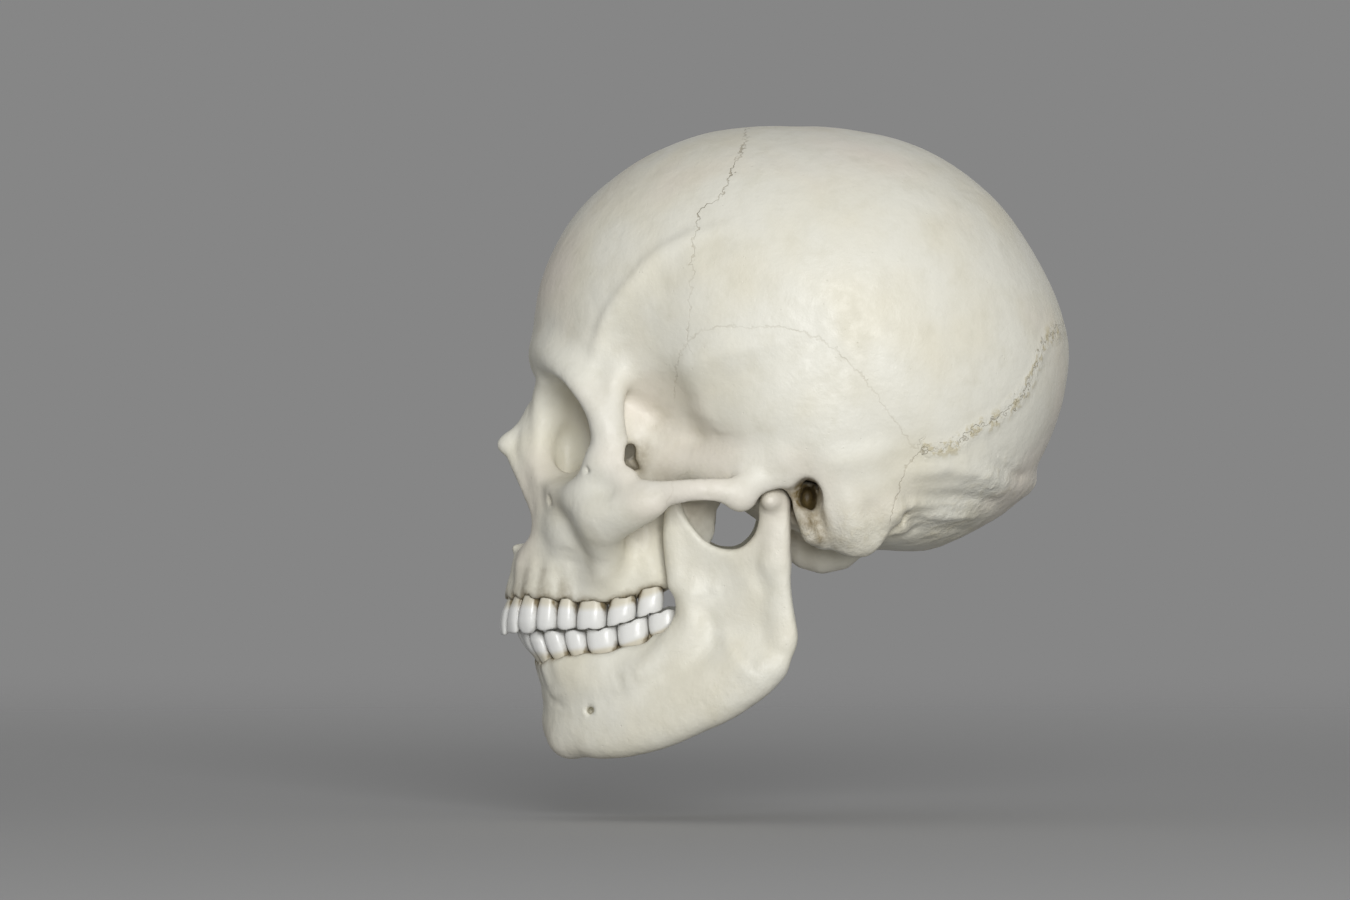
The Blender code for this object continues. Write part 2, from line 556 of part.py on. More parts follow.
def dental_wall(jaw, rise):
    """The alveolar process: a wall round the tooth roots, leaning in away from the crowns."""
    neck_shares = NECK_PLACE_SHARES[jaw]
    depths = CROWN_DEPTHS[jaw]
    lean_across, lean_along = ARCH_LEAN_SHARES[jaw]
    front = (0, neck_shares[0][1] - FRONT_STEP_SHARE, neck_shares[0][2])
    necks = np.array([place(row) for row in (front,) + neck_shares])
    halves = np.array((depths[0],) + depths)[:, None] * NECK_SHARE / 2 + ALVEOLAR_WALL
    curve = spline(np.hstack([necks, halves]), CURVE_POINTS)
    end = curve[-1] + (curve[-1] - curve[-3])
    curve = np.vstack([curve, end])
    hub = place(ARCH_HUB_SHARES)[1]

    def field(x, y, z):
        best = None
        level = np.clip((z - curve[:, 2].mean()) / rise, 0, 1)
        px, py = x / (1 - lean_across * level), hub + (y - hub) / (1 - lean_along * level)
        for a, b in zip(curve[:-1], curve[1:]):
            d = b - a
            t = np.clip(((px - a[0]) * d[0] + (py - a[1]) * d[1]) / (d[0] ** 2 + d[1] ** 2), 0, 1)
            away = np.hypot(px - a[0] - t * d[0], py - a[1] - t * d[1]) - (a[3] + t * d[3])
            edge = z - (a[2] + t * d[2])
            if best is None:
                best, height = away, edge
            else:
                height = np.where(away < best, edge, height)
                best = np.minimum(best, away)
        tall = np.maximum(-height, height - rise) if rise > 0 else np.maximum(height, rise - height)
        outside = np.hypot(np.maximum(best + ALVEOLAR_ROUND, 0), np.maximum(tall + ALVEOLAR_ROUND, 0))
        return outside + np.minimum(np.maximum(best, tall) + ALVEOLAR_ROUND, 0) - ALVEOLAR_ROUND
    reach = curve[:, 3].max()
    low, high = curve[:, :3].min(0) - reach, curve[:, :3].max(0) + reach
    low[2] += min(rise, 0)
    high[2] += max(rise, 0)
    return field, low, high


def ramus_plate():
    """The flat of the ramus: its side outline, with the thickness about a leaning plane."""
    outline = spline(side_places(RAMUS_SHARES), OUTLINE_POINTS, closed=True)
    ear = place(RAMUS_PLANE_SHARES[0])
    back, up = RAMUS_PLANE_SHARES[1]

    def field(x, y, z):
        middle = ear[0] + (y - ear[1]) * back + (z - ear[2]) * up
        flat = np.abs(x - middle) - RAMUS_THICKNESS / 2
        side = outline_distance(outline, y, z) + 0 * x
        round_off = RAMUS_THICKNESS / 3
        outside = np.hypot(np.maximum(flat + round_off, 0), np.maximum(side + round_off, 0))
        return outside + np.minimum(np.maximum(flat, side) + round_off, 0) - round_off
    inner, outer = (share * STEP[0] for share in RAMUS_REACH_SHARES)
    low = np.array([inner, outline[:, 0].min(), outline[:, 1].min()])
    return field, low, np.array([outer, outline[:, 0].max(), outline[:, 1].max()])


def condyle():
    """The head of the mandible: an oval knuckle, its inner end turned back."""
    radii = np.array([CONDYLE_LENGTH, CONDYLE_DEPTH, CONDYLE_HEIGHT]) / 2
    return mass(place(CONDYLE_SHARES), radii, CONDYLE_TURN)


def swung(form, angle):
    """A form of the mandible, swung open about the line through the condyles."""
    function, low, high = form
    pivot = place(CONDYLE_SHARES)
    ca, sa = math.cos(angle), math.sin(angle)
    corners = np.array([[y - pivot[1], z - pivot[2]] for y in (low[1], high[1]) for z in (low[2], high[2])])
    turned = corners @ np.array([[ca, sa], [-sa, ca]])
    new_low = np.array([low[0], turned[:, 0].min() + pivot[1], turned[:, 1].min() + pivot[2]])
    new_high = np.array([high[0], turned[:, 0].max() + pivot[1], turned[:, 1].max() + pivot[2]])

    def field(x, y, z):
        dy, dz = y - pivot[1], z - pivot[2]
        return function(x, ca * dy + sa * dz + pivot[1], -sa * dy + ca * dz + pivot[2])
    return field, new_low, new_high


def grown(form, by):
    """A form made larger all round."""
    function, low, high = form
    return (lambda x, y, z: function(x, y, z) - by), low - by, high + by


def model_cranium(grid, jaw):
    """Everything of the skull but the jaw and teeth, as clay, cut clear of the jaw's swing."""
    clay = Clay(*(place(row) for row in CRANIUM_BLOCK_SHARES), grid)
    clay.add(braincase(0))
    clay.add(step_mass(ORBIT_BLOCK_SHARES), SOFT_BLEND)
    clay.cut(step_mass(TEMPLE_SHARES), TEMPLE_BLEND)
    clay.add(bar(ETHMOID_SHARES), SOFT_BLEND)
    clay.add(bar(LACRIMAL_SHARES), SOFT_BLEND)
    clay.add(bar(SPHENOID_SHARES), FULL_BLEND)
    clay.add(bar(PETROUS_SHARES), FULL_BLEND)
    clay.add(step_mass(MAXILLA_SHARES), SOFT_BLEND)
    clay.add(bar(TUBEROSITY_SHARES, smooth=True), SOFT_BLEND)
    clay.cut(step_mass(INFRATEMPORAL_SHARES), CLOSE_BLEND)
    clay.add(bar(BROW_SHARES, smooth=True), FULL_BLEND)
    clay.add(bar(ORBIT_RIM_SHARES, smooth=True), FIRM_BLEND)
    clay.add(bar(FRONTAL_PROCESS_SHARES, smooth=True), FIRM_BLEND)
    clay.add(bar(NASAL_SIDE_SHARES, smooth=True), CLOSE_BLEND)
    clay.add(bar(NASAL_EDGE_SHARES, smooth=True), CRISP_BLEND)
    clay.add(bar(CHEEK_SHARES, smooth=True), FULL_BLEND)
    clay.add(bar(CHEEK_EDGE_SHARES, smooth=True), SOFT_BLEND)
    clay.add(bar(PILLAR_SHARES), FULL_BLEND)
    clay.add(dental_wall("upper", ALVEOLAR_RISE), FIRM_BLEND)
    clay.add(palate(), SOFT_BLEND)
    clay.add(step_mass(MASTOID_SHARES), BROAD_BLEND)
    clay.add(bar(OCCIPITAL_CONDYLE_SHARES), CRISP_BLEND)
    clay.add(bar(NUCHAL_SHARES, smooth=True), FIRM_BLEND)
    clay.add(bar(TYMPANIC_SHARES), CRISP_BLEND)
    clay.add(bar(FOSSA_ROOF_SHARES), SOFT_BLEND)
    clay.add(bar(ARCH_ROOT_SHARES, smooth=True), FULL_BLEND)
    clay.add(bar(TUBERCLE_SHARES), SOFT_BLEND)
    clay.add(bar(ARCH_SHARES, ARCH_SECTION_SHARES, smooth=True), CLOSE_BLEND)
    clay.add(bar(PTERYGOID_SHARES, PLATE_SECTION_SHARES), CLOSE_BLEND)
    clay.add(bar(LATERAL_PLATE_SHARES, WING_SECTION_SHARES), CRISP_BLEND)
    clay.add(step_mass(WING_SHARES), FULL_BLEND)
    clay.add(bar(PILLAR_BACK_SHARES, smooth=True), SOFT_BLEND)
    clay.add(orbit_wall(), CRISP_BLEND)
    clay.field = np.maximum(clay.field, -model_hollow(grid, clay.field))
    clay.cut(orbit(), CRISP_BLEND)
    clay.cut(nasal_cavity(), EDGE_BLEND)
    clay.add(septum(), CREASE)
    clay.add(bar(NASAL_BONE_SHARES, smooth=True), CRISP_BLEND)
    clay.add(bar(SPINE_SHARES, smooth=True), EDGE_BLEND)
    clay.cut(foramen_magnum(), EDGE_BLEND)
    clay.cut(bar(FISSURE_SHARES, FISSURE_SECTION_SHARES), CREASE)
    clay.cut(bar(EAR_TROUGH_SHARES, smooth=True), EDGE_BLEND)
    clay.cut(ear_canal(), EDGE_BLEND)
    clay.cut(bar(DIGASTRIC_SHARES), CRISP_BLEND)
    for i in range(SWING_STEPS):
        clay.cut(swung(grown(jaw.form(), JOINT_GAP), JAW_OPENING * i / (SWING_STEPS - 1)), CREASE)
    return clay


def model_hollow(grid, outside):
    """The space for the brain, kept one wall inside every outer surface."""
    clay = Clay(*(place(row) for row in CRANIUM_BLOCK_SHARES), grid)
    clay.add(brain_cavity())
    clay.add(step_mass(MIDDLE_FOSSA_SHARES), SOFT_BLEND)
    clay.cut(grown(orbit(), ORBIT_WALL), CLOSE_BLEND)
    clay.cut(bar(PETROUS_SHARES), CLOSE_BLEND)
    clay.field = np.maximum(clay.field, outside + VAULT_WALL)
    return clay.field


def orbit():
    """The eye socket, narrowing back and in."""
    return squared_tube(ORBIT_AXIS_SHARES, ORBIT_WIDTH / 2, ORBIT_HEIGHT / 2, ORBIT_SQUARENESS)


def orbit_wall():
    """A wall all round the socket, set back from its rim."""
    function, low, high = grown(orbit(), ORBIT_WALL)
    inner, outer = (place(row) for row in ORBIT_FRONT_SHARES)

    def field(x, y, z):
        front = np.interp(x, (inner[0], outer[0]), (inner[1], outer[1]))
        return np.maximum(function(x, y, z), front - y)
    return field, low, high


def palate():
    """The bony roof of the mouth, spanning the dental arch above the tooth necks."""
    points = spline([place(row)[:2] for row in PALATE_SHARES], CURVE_POINTS)
    middle = place(PALATE_SHARES[0])[2]

    def field(x, y, z):
        side = outline_distance(points, x, y) + 0 * z
        return np.maximum(side, np.abs(z - middle + x ** 2 / PALATE_CURVE) - PALATE_WALL / 2)
    low = np.array([0, points[:, 1].min(), middle - PALATE_WALL * 2])
    return field, low, np.array([points[:, 0].max(), points[:, 1].max(), middle + PALATE_WALL])


def foramen_magnum():
    """The hole in the base that the spine comes out of, centred on the origin."""
    low, high = (place(row) for row in FORAMEN_REACH_SHARES)

    def field(x, y, z):
        ring = np.sqrt((x / (FORAMEN_WIDTH / 2)) ** 2 + (y / (FORAMEN_LENGTH / 2)) ** 2)
        side = (ring - 1) * FORAMEN_WIDTH / 2
        return np.maximum(side, np.maximum(low[2] - z, z - high[2]))
    return field, low, high + np.array([FORAMEN_WIDTH, 0, 0])


def ear_canal():
    """The upright oval opening of the ear, running in towards the base."""
    middle = place(EAR_SHARES)
    start, end = (share * STEP[0] for share in CANAL_REACH_SHARES)

    def field(x, y, z):
        ring = np.hypot((y - middle[1]) / EAR_CANAL_WIDTH, (z - middle[2]) / EAR_CANAL_HEIGHT) * 2
        narrow = np.interp(x, (start, end), EAR_FLARE_SHARES)
        return np.maximum((ring - narrow) * EAR_CANAL_WIDTH / 2, start - x)
    low = np.array([start, middle[1] - EAR_CANAL_WIDTH, middle[2] - EAR_CANAL_HEIGHT])
    return field, low, np.array([end, middle[1] + EAR_CANAL_WIDTH, middle[2] + EAR_CANAL_HEIGHT])


def model_mandible(grid):
    """The lower jaw as clay."""
    clay = Clay(*(place(row) for row in MANDIBLE_BLOCK_SHARES), grid)
    clay.add(bar(LOWER_BORDER_SHARES, smooth=True))
    clay.add(bar(JAW_WALL_SHARES, smooth=True), BODY_BLEND)
    clay.add(bar(ALVEOLAR_SHARES, smooth=True), BROAD_BLEND)
    clay.add(dental_wall("lower", -ALVEOLAR_DROP), FULL_BLEND)
    clay.add(ramus_plate(), FULL_BLEND)
    clay.add(bar(OBLIQUE_SHARES, smooth=True), FULL_BLEND)
    clay.add(bar(CORONOID_SHARES, CORONOID_SECTION_SHARES), CRISP_BLEND)
    clay.add(bar(BACK_BORDER_SHARES), CLOSE_BLEND)
    clay.add(bar(NECK_SHARES), CLOSE_BLEND)
    clay.add(condyle(), EDGE_BLEND)
    clay.add(step_mass(CHIN_SHARES), SOFT_BLEND)
    clay.add(step_mass(CHIN_CORNER_SHARES), FIRM_BLEND)
    clay.cut(bore(MENTAL_SHARES, MENTAL_FORAMEN), CREASE)
    return clay


def bite_height(y):
    """The height where upper and lower back teeth meet, at a place along the skull."""
    rows = side_places(BITE_SHARES)
    return np.interp(y, rows[:, 0], rows[:, 1])


def arch_places(jaw):
    """Neck, tip, direction along the arch and room for each tooth, from the midline back."""
    lines = []
    for rows in (NECK_PLACE_SHARES[jaw], TIP_PLACE_SHARES[jaw]):
        points = np.array([place(row) for row in rows])
        first = points[0] * np.array([0, 1, 1])
        last = points[-1] + (points[-1] - points[-2]) / 2
        lines.append(spline(np.vstack([first, points, last]), ARCH_POINTS))
    middle = (lines[0] + lines[1]) / 2
    run = np.concatenate([[0], np.cumsum(np.linalg.norm(np.diff(middle[:, :2], axis=0), axis=1))])
    widths = np.array(CROWN_WIDTHS[jaw])
    room = widths / widths.sum() * run[-1]
    centres = np.cumsum(room) - room / 2
    places = []
    for centre, space in zip(centres, room):
        neck, tip = (np.array([np.interp(centre, run, line[:, i]) for i in range(3)]) for line in lines)
        ahead, behind = (np.array([np.interp(centre + way * space / 2, run, middle[:, i]) for i in range(3)])
                         for way in (1, -1))
        along = ahead - behind
        along[2] = 0
        places.append((neck, tip, along / np.linalg.norm(along), space - TOOTH_GAP))
    return places


def root_of(crown, up, length):
    """The way and length of a root: on from its crown, turned a little upright."""
    root = np.array([0, 0, up * ROOT_UPRIGHT_SHARE]) - crown / np.linalg.norm(crown)
    return root * length / np.linalg.norm(root)


def tooth_rings(jaw, index, grow, sides):
    """Rings of points round one left-hand tooth, made larger all round by grow."""
    neck, tip, along, width = arch_places(jaw)[index]
    form = TOOTH_FORMS[index]
    depth = CROWN_DEPTHS[jaw][index]
    up = 1 if jaw == "upper" else -1
    crown = tip - neck
    root = root_of(crown, up, ROOT_LENGTH + grow)
    out = np.cross(along, (0, 0, 1))
    rings = []
    for t, wide, deep in TOOTH_RING_SHARES[form]:
        middle = neck + (crown * t if t > 0 else -root * t)
        half_width, half_depth = wide * width / 2 + grow, deep * depth / 2 + grow
        ring = []
        for i in range(sides):
            angle = 2 * math.pi * i / sides
            ca, sa = math.cos(angle), math.sin(angle)
            size = (abs(ca) ** TOOTH_FULLNESS + abs(sa) ** TOOTH_FULLNESS) ** (-1 / TOOTH_FULLNESS)
            narrow = 1 - INNER_NARROWING_SHARE * (1 - sa * size) / 2
            ring.append(middle + along * ca * size * half_width * narrow + out * sa * size * half_depth)
        ring = np.array(ring)
        if t > 0 and form in ("premolar", "molar"):
            level = bite_height(ring[:, 1]) + up * (BITE_GAP / 2 - grow)
            ring[:, 2] += (level - tip[2]) * t ** 2
        rings.append(ring)
    if grow and form in ("incisor", "canine"):
        rings.append(rings[-1] + crown / np.linalg.norm(crown) * grow)
    pit = PIT_SHARES[form] * np.linalg.norm(crown) * (0 if grow else 1)
    end = rings[-1].mean(0) - crown / np.linalg.norm(crown) * pit
    return rings, end


def tooth_mesh(name, teeth, grow=0.0, sides=TOOTH_SIDES):
    """A closed loft for each tooth of the list, as one mesh."""
    work = bmesh.new()
    for jaw, side, index in teeth:
        rings, end = tooth_rings(jaw, index, grow, sides)
        mirror = np.array([SIDES[side], 1, 1])
        loops = [[work.verts.new(point * mirror) for point in ring] for ring in rings]
        root = work.verts.new(rings[0].mean(0) * mirror)
        crown = work.verts.new(end * mirror)
        for lower, upper in zip(loops[:-1], loops[1:]):
            for i in range(sides):
                j = (i + 1) % sides
                work.faces.new((lower[i], lower[j], upper[j], upper[i]))
        for i in range(sides):
            j = (i + 1) % sides
            work.faces.new((loops[0][j], loops[0][i], root))
            work.faces.new((loops[-1][i], loops[-1][j], crown))
    bmesh.ops.triangulate(work, faces=work.faces)
    bmesh.ops.recalc_face_normals(work, faces=work.faces)
    data = bpy.data.meshes.new(name)
    work.to_mesh(data)
    work.free()
    return data


def material(name, colour, roughness):
    """A Principled material of one colour."""
    made = bpy.data.materials.new(name)
    made.use_nodes = True
    shader = made.node_tree.nodes["Principled BSDF"]
    shader.inputs["Base Color"].default_value = colour + (1,)
    shader.inputs["Roughness"].default_value = roughness
    shader.inputs["Metallic"].default_value = 0
    return made


def new_collection(name):
    """A collection of its own in the scene."""
    made = bpy.data.collections.new(name)
    bpy.context.scene.collection.children.link(made)
    return made


def bone(name, clay, faces, look, collection):
    """A bone's object: its clay meshed, then thinned out evenly."""
    data = clay.mesh(name)
    made = bpy.data.objects.new(name, data)
    made.data.materials.append(look)
    collection.objects.link(made)
    thin = made.modifiers.new("thin_out", "DECIMATE")
    thin.ratio = faces / len(data.polygons)
    thin.use_symmetry = True
    thin.symmetry_axis = "X"
    return made


def cut_sockets(owner, jaw, cutters):
    """Cuts a root socket for every tooth, a small gap larger than the tooth."""
    for odd in (0, 1):
        teeth = [(jaw, side, i) for side in SIDES for i in range(len(TEETH))
                 if (i if side == "left" else i + 1) % 2 == odd]
        data = tooth_mesh(f"{jaw}_sockets_{odd}", teeth, SOCKET_GAP)
        cutter = bpy.data.objects.new(data.name, data)
        cutter.display_type = "WIRE"
        cutter.hide_render = True
        cutters.objects.link(cutter)
        cut = owner.modifiers.new(data.name, "BOOLEAN")
        cut.operation = "DIFFERENCE"
        cut.solver = "EXACT"
        cut.object = cutter


def main():
    """Builds the skull in its own collection."""
    for old in list(bpy.data.objects):
        bpy.data.objects.remove(old)
    parts = new_collection("anatomical_skull")
    cutters = new_collection("cutters")
    ivory = material("bone_ivory", BONE_COLOUR, BONE_ROUGHNESS)
    enamel = material("tooth_enamel", TOOTH_COLOUR, TOOTH_ROUGHNESS)
    jaw = model_mandible(MANDIBLE_GRID)
    cranium = bone("cranium", model_cranium(CRANIUM_GRID, jaw), CRANIUM_FACES, ivory, parts)
    mandible = bone("mandible", jaw, MANDIBLE_FACES, ivory, parts)
    cut_sockets(cranium, "upper", cutters)
    cut_sockets(mandible, "lower", cutters)
    hinge = bpy.data.objects.new("jaw_hinge", None)
    hinge.location = place((0,) + CONDYLE_SHARES[1:])
    parts.objects.link(hinge)
    bpy.context.view_layer.update()
    swinging = [mandible]
    for jaw in CROWN_WIDTHS:
        for side in SIDES:
            for index, tooth in enumerate(TEETH):
                name = f"{jaw}_{side}_{tooth}"
                made = bpy.data.objects.new(name, tooth_mesh(name, [(jaw, side, index)]))
                made.data.materials.append(enamel)
                parts.objects.link(made)
                if jaw == "lower":
                    swinging.append(made)
    for piece in swinging:
        piece.parent = hinge
        piece.matrix_parent_inverse = hinge.matrix_world.inverted()


if __name__ == "__main__":
    main()
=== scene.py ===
import math

import bmesh
import bpy
import numpy as np
import openvdb
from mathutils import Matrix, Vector
from mathutils.bvhtree import BVHTree
from mathutils.kdtree import KDTree


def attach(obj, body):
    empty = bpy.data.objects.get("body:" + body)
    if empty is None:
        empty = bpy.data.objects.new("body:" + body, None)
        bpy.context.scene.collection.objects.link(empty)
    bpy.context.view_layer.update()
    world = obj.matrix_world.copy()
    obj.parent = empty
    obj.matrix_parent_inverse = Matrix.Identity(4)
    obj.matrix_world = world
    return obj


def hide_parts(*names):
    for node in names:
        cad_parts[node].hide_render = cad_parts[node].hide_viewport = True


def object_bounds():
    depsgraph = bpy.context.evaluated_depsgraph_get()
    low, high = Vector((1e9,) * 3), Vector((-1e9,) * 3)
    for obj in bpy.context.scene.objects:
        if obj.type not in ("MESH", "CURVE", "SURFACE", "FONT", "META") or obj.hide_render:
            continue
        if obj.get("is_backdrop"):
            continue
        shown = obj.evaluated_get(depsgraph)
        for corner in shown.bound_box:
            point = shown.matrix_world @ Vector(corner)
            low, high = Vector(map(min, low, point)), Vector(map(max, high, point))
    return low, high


bl_info = {
    "name": "Anatomical Skull",
    "version": (1, 0, 0),
    "blender": (4, 5, 0),
    "location": "3D View > Sidebar > Skull",
    "description": "Builds a cast teaching skull with a hinged jaw and 32 set teeth",
    "category": "Add Mesh",
}

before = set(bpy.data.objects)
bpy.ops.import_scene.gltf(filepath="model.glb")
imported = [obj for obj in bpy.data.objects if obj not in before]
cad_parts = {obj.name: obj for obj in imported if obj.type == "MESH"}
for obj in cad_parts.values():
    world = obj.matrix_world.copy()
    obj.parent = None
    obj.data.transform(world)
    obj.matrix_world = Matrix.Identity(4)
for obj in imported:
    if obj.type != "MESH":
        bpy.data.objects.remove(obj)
CAD_BOX = [list(corner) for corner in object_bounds()]

MM = 0.001

# Driving sizes of the cranium
CRANIAL_LENGTH = 180 * MM
CRANIAL_BREADTH = 143 * MM
VAULT_HEIGHT = 120 * MM
VAULT_WALL = 5 * MM
FORAMEN_LENGTH = 35 * MM
FORAMEN_WIDTH = 30 * MM
ORBIT_WIDTH = 37 * MM
ORBIT_HEIGHT = 34 * MM
ORBIT_WALL = 3 * MM
ORBIT_SQUARENESS = 2.5
APERTURE_WIDTH = 24 * MM
SEPTUM = 2.4 * MM
EAR_CANAL_WIDTH = 6.4 * MM
EAR_CANAL_HEIGHT = 11 * MM
PALATE_WALL = 4 * MM
PALATE_CURVE = 101 * MM

# Driving sizes of the mandible
CONDYLE_LENGTH = 19 * MM
CONDYLE_DEPTH = 9 * MM
CONDYLE_HEIGHT = 9 * MM
RAMUS_THICKNESS = 6 * MM
RAMUS_ROUND = RAMUS_THICKNESS / 3
MENTAL_FORAMEN = 2.6 * MM
JAW_OPENING = math.radians(20)

# Clearances, and the steps in which the cranium is cut clear of the jaw's swing
JOINT_GAP = 0.8 * MM
SOCKET_GAP = 0.3 * MM
SWING_STEPS = 5

# How far round a join between two forms is drawn out, from a crease to the temple
CREASE = 1 * MM
EDGE_BLEND = 2 * MM
CRISP_BLEND = 3 * MM
CLOSE_BLEND = 4 * MM
FIRM_BLEND = 5 * MM
SOFT_BLEND = 6 * MM
FULL_BLEND = 8 * MM
BROAD_BLEND = 12 * MM
BODY_BLEND = 16 * MM
TEMPLE_BLEND = 20 * MM

# Places below are counted in steps from the ear point: 143 steps to the cranial
# breadth, 180 to its length and 120 to its height, so they follow those sizes
STEP_SHARES = (1 / 143, 1 / 180, 1 / 120)
ORIGIN_SHARES = (0, 21, -24)

STEP = (CRANIAL_BREADTH * STEP_SHARES[0], CRANIAL_LENGTH * STEP_SHARES[1],
        VAULT_HEIGHT * STEP_SHARES[2])
MEAN_STEP = STEP[1]

# Midline outline of the braincase, from the brow over the crown to the nape and
# back along the base
VAULT_SHARES = (
    (-90.5, 42), (-91, 52), (-89.5, 64), (-85.5, 76), (-78.2, 89), (-67, 100.5),
    (-52, 110.6), (-35, 117.2), (-18.4, 119.8), (-3, 120), (12, 119.3), (32, 115.3),
    (48.6, 107.5), (65.3, 93.6), (78.7, 73.7), (85.4, 58.6), (88.2, 45),
    (86.3, 28.5), (81, 13.4), (74.7, 1), (70, -6.5), (60, -13.4), (42, -21.5),
    (25, -22), (6, -20), (-10, -10), (-24, 0), (-40, 10), (-58, 20), (-74, 27), (-86, 32))
VAULT_CENTRE_SHARES = (8, 50)
# How full the cross-section is, by compass angle in the midline plane
FULLNESS_SHARES = (
    (-180, 2.05), (-155, 2.4), (-132, 3.6), (-95, 3.7), (-65, 2.5), (-20, 2.3), (0, 2.15),
    (90, 2.2), (150, 2), (180, 2.05))
# Midline outline of the brain cavity's floor, above which the walls follow the vault
FLOOR_SHARES = (
    (-95, 44), (-84, 42), (-50, 38), (-37, 33), (-27, 24), (-16, 16), (-6, 2), (2, -12), (10, -15),
    (34, -16), (52, -10), (66, 2), (80, 20), (95, 40))

# Bars of bone, each row a place and a radius
BROW_SHARES = ((0, -84.5, 42, 6), (12, -85.5, 43, 5), (24, -84.5, 42.5, 4.4), (35, -80.5, 39, 4.2),
               (43, -75, 33, 4), (47, -69.6, 25, 3.6), (47.8, -67, 16, 3.8), (47.5, -67.4, 7, 4.8))
ORBIT_RIM_SHARES = (
    (47.5, -68, 7, 4.6), (43.5, -73, -1, 4.4), (35, -79, -3.5, 4), (25, -82.5, -1.5, 3.8),
    (16, -84, 4, 4), (12, -84, 13, 4), (11.5, -82.5, 23, 4.5), (14, -84, 33, 5))
PILLAR_BACK_SHARES = (
    (41, -62, 39, 4), (45, -63.5, 31, 3.6), (47.4, -63.8, 22, 3.2), (48.6, -62.4, 13, 3.6), (50, -61, 4, 5))
CHEEK_SHARES = ((42, -72, -7, 6.5), (47, -69, -9, 7.5), (52, -63, -8, 6.5), (57, -56, -6, 5))
CHEEK_EDGE_SHARES = (
    (39, -70, -13.4, 4), (46.5, -66.5, -14.2, 3.6), (53, -59.4, -11.8, 3.4), (59, -51, -6.2, 3.4))
PILLAR_SHARES = ((44, -67, -14, 5), (37, -66, -22, 5), (32, -67, -30, 5))
ARCH_SHARES = (
    (56, -57, -3.5, 4.4), (61, -48, -2.8, 3.5), (64.5, -39, -1.5, 3), (65.5, -31, -1.4, 3),
    (64.5, -23, -1.6, 3.4), (62.5, -15, 1.4, 2.8), (61.4, -6, 3.6, 2.4), (60.4, 4, 5.6, 2.2),
    (59, 14, 8, 2))
ARCH_ROOT_SHARES = ((49, -30, 7, 3), (56, -19, 7, 4), (60, -8, 9, 4))
TUBERCLE_SHARES = ((62, -22, -4, 4.4), (54, -21, -3, 5), (46, -20, -1, 6))
FOSSA_ROOF_SHARES = ((57, -9, 9, 6), (50, -12, 8, 7), (42, -11, 7, 7))
FRONTAL_PROCESS_SHARES = ((9, -86.5, 29, 4.5), (11.5, -87, 16, 4.5), (14.5, -87, 4, 4.6),
                          (16.5, -85.6, -8, 4.6), (16, -86.4, -17, 4.8), (12, -91.5, -26, 4.6))
NASAL_BONE_SHARES = (
    (0, -84.5, 31, 4.6), (2.2, -88.5, 25, 3.6), (3.2, -94, 18.5, 3.2), (3.6, -100.4, 13.4, 2.6))
NASAL_SIDE_SHARES = (
    (5, -89.5, 24, 3.2), (7.5, -93, 15, 3), (10, -92, 6, 3.2), (12.5, -88.6, -3, 3.4))
NASAL_EDGE_SHARES = (
    (4, -98.8, 14, 2.6), (7, -96.4, 7, 2.4), (10.5, -92.8, -1, 2.2), (13.6, -89.4, -9, 2.3),
    (14, -88.4, -16, 2.6), (11, -89.6, -22.5, 3), (4, -92.4, -24.5, 3))
SPINE_SHARES = ((0, -88, -22.5, 4.5), (0, -94, -22, 2.6), (0, -97, -21.2, 1.4))
ETHMOID_SHARES = ((0, -83, 22, 9.5), (0, -70, 20, 12), (0, -50, 14, 13))
LACRIMAL_SHARES = ((6, -83, 8, 7), (6, -70, 6, 8), (4, -52, 6, 10))
SPHENOID_SHARES = ((0, -46, 14, 12), (0, -30, 8, 11), (0, -16, -1, 8.5), (0, 0, -13, 8))
PTERYGOID_SHARES = (
    (13, -43, 2, 3.4), (15, -40, -8, 2.8), (15, -39.5, -18, 2.6), (15, -40, -26, 2.4))
LATERAL_PLATE_SHARES = (
    (19, -38, 3, 4.2), (22.5, -37.4, -6, 4), (23, -37.2, -15, 3.8), (20, -39, -23, 3))
WING_SHARES = (30, -38, 9, 13, 17, 14)
TUBEROSITY_SHARES = ((24, -56, -2, 10), (26, -53, -16, 9), (28, -52, -28, 7))
PETROUS_SHARES = ((50, 4, -6, 7), (36, -3, -5, 8), (22, -10, -3, 7), (12, -17, 0, 6))
TYMPANIC_SHARES = ((54, 1.5, -5, 6.8), (52, 2.5, -12, 4), (46, 3.5, -17, 2.6))
OCCIPITAL_CONDYLE_SHARES = (
    (11.5, -5, -20, 4.4), (13.2, 0, -22.6, 5.4), (15.4, 5.6, -23.6, 6), (17.4, 11.4, -22.6, 5.6),
    (19, 17, -19.4, 4.4))
NUCHAL_SHARES = (
    (0, 73.5, 1, 3.4), (16, 70.5, 1, 2.6), (32, 62, 3, 2.4), (45, 49, 2, 2.4), (52, 34, -2, 3))
DIGASTRIC_SHARES = ((41, 8, -23, 3.5), (42, 22, -20, 3.5), (42, 36, -17, 3))

# Sections of the flattened bars, across, along and up
ARCH_SECTION_SHARES = (0.75, 1, 1.25)
PLATE_SECTION_SHARES = (0.7, 1, 1)
WING_SECTION_SHARES = (0.5, 1.9, 1)
CORONOID_SECTION_SHARES = (0.8, 1, 1)

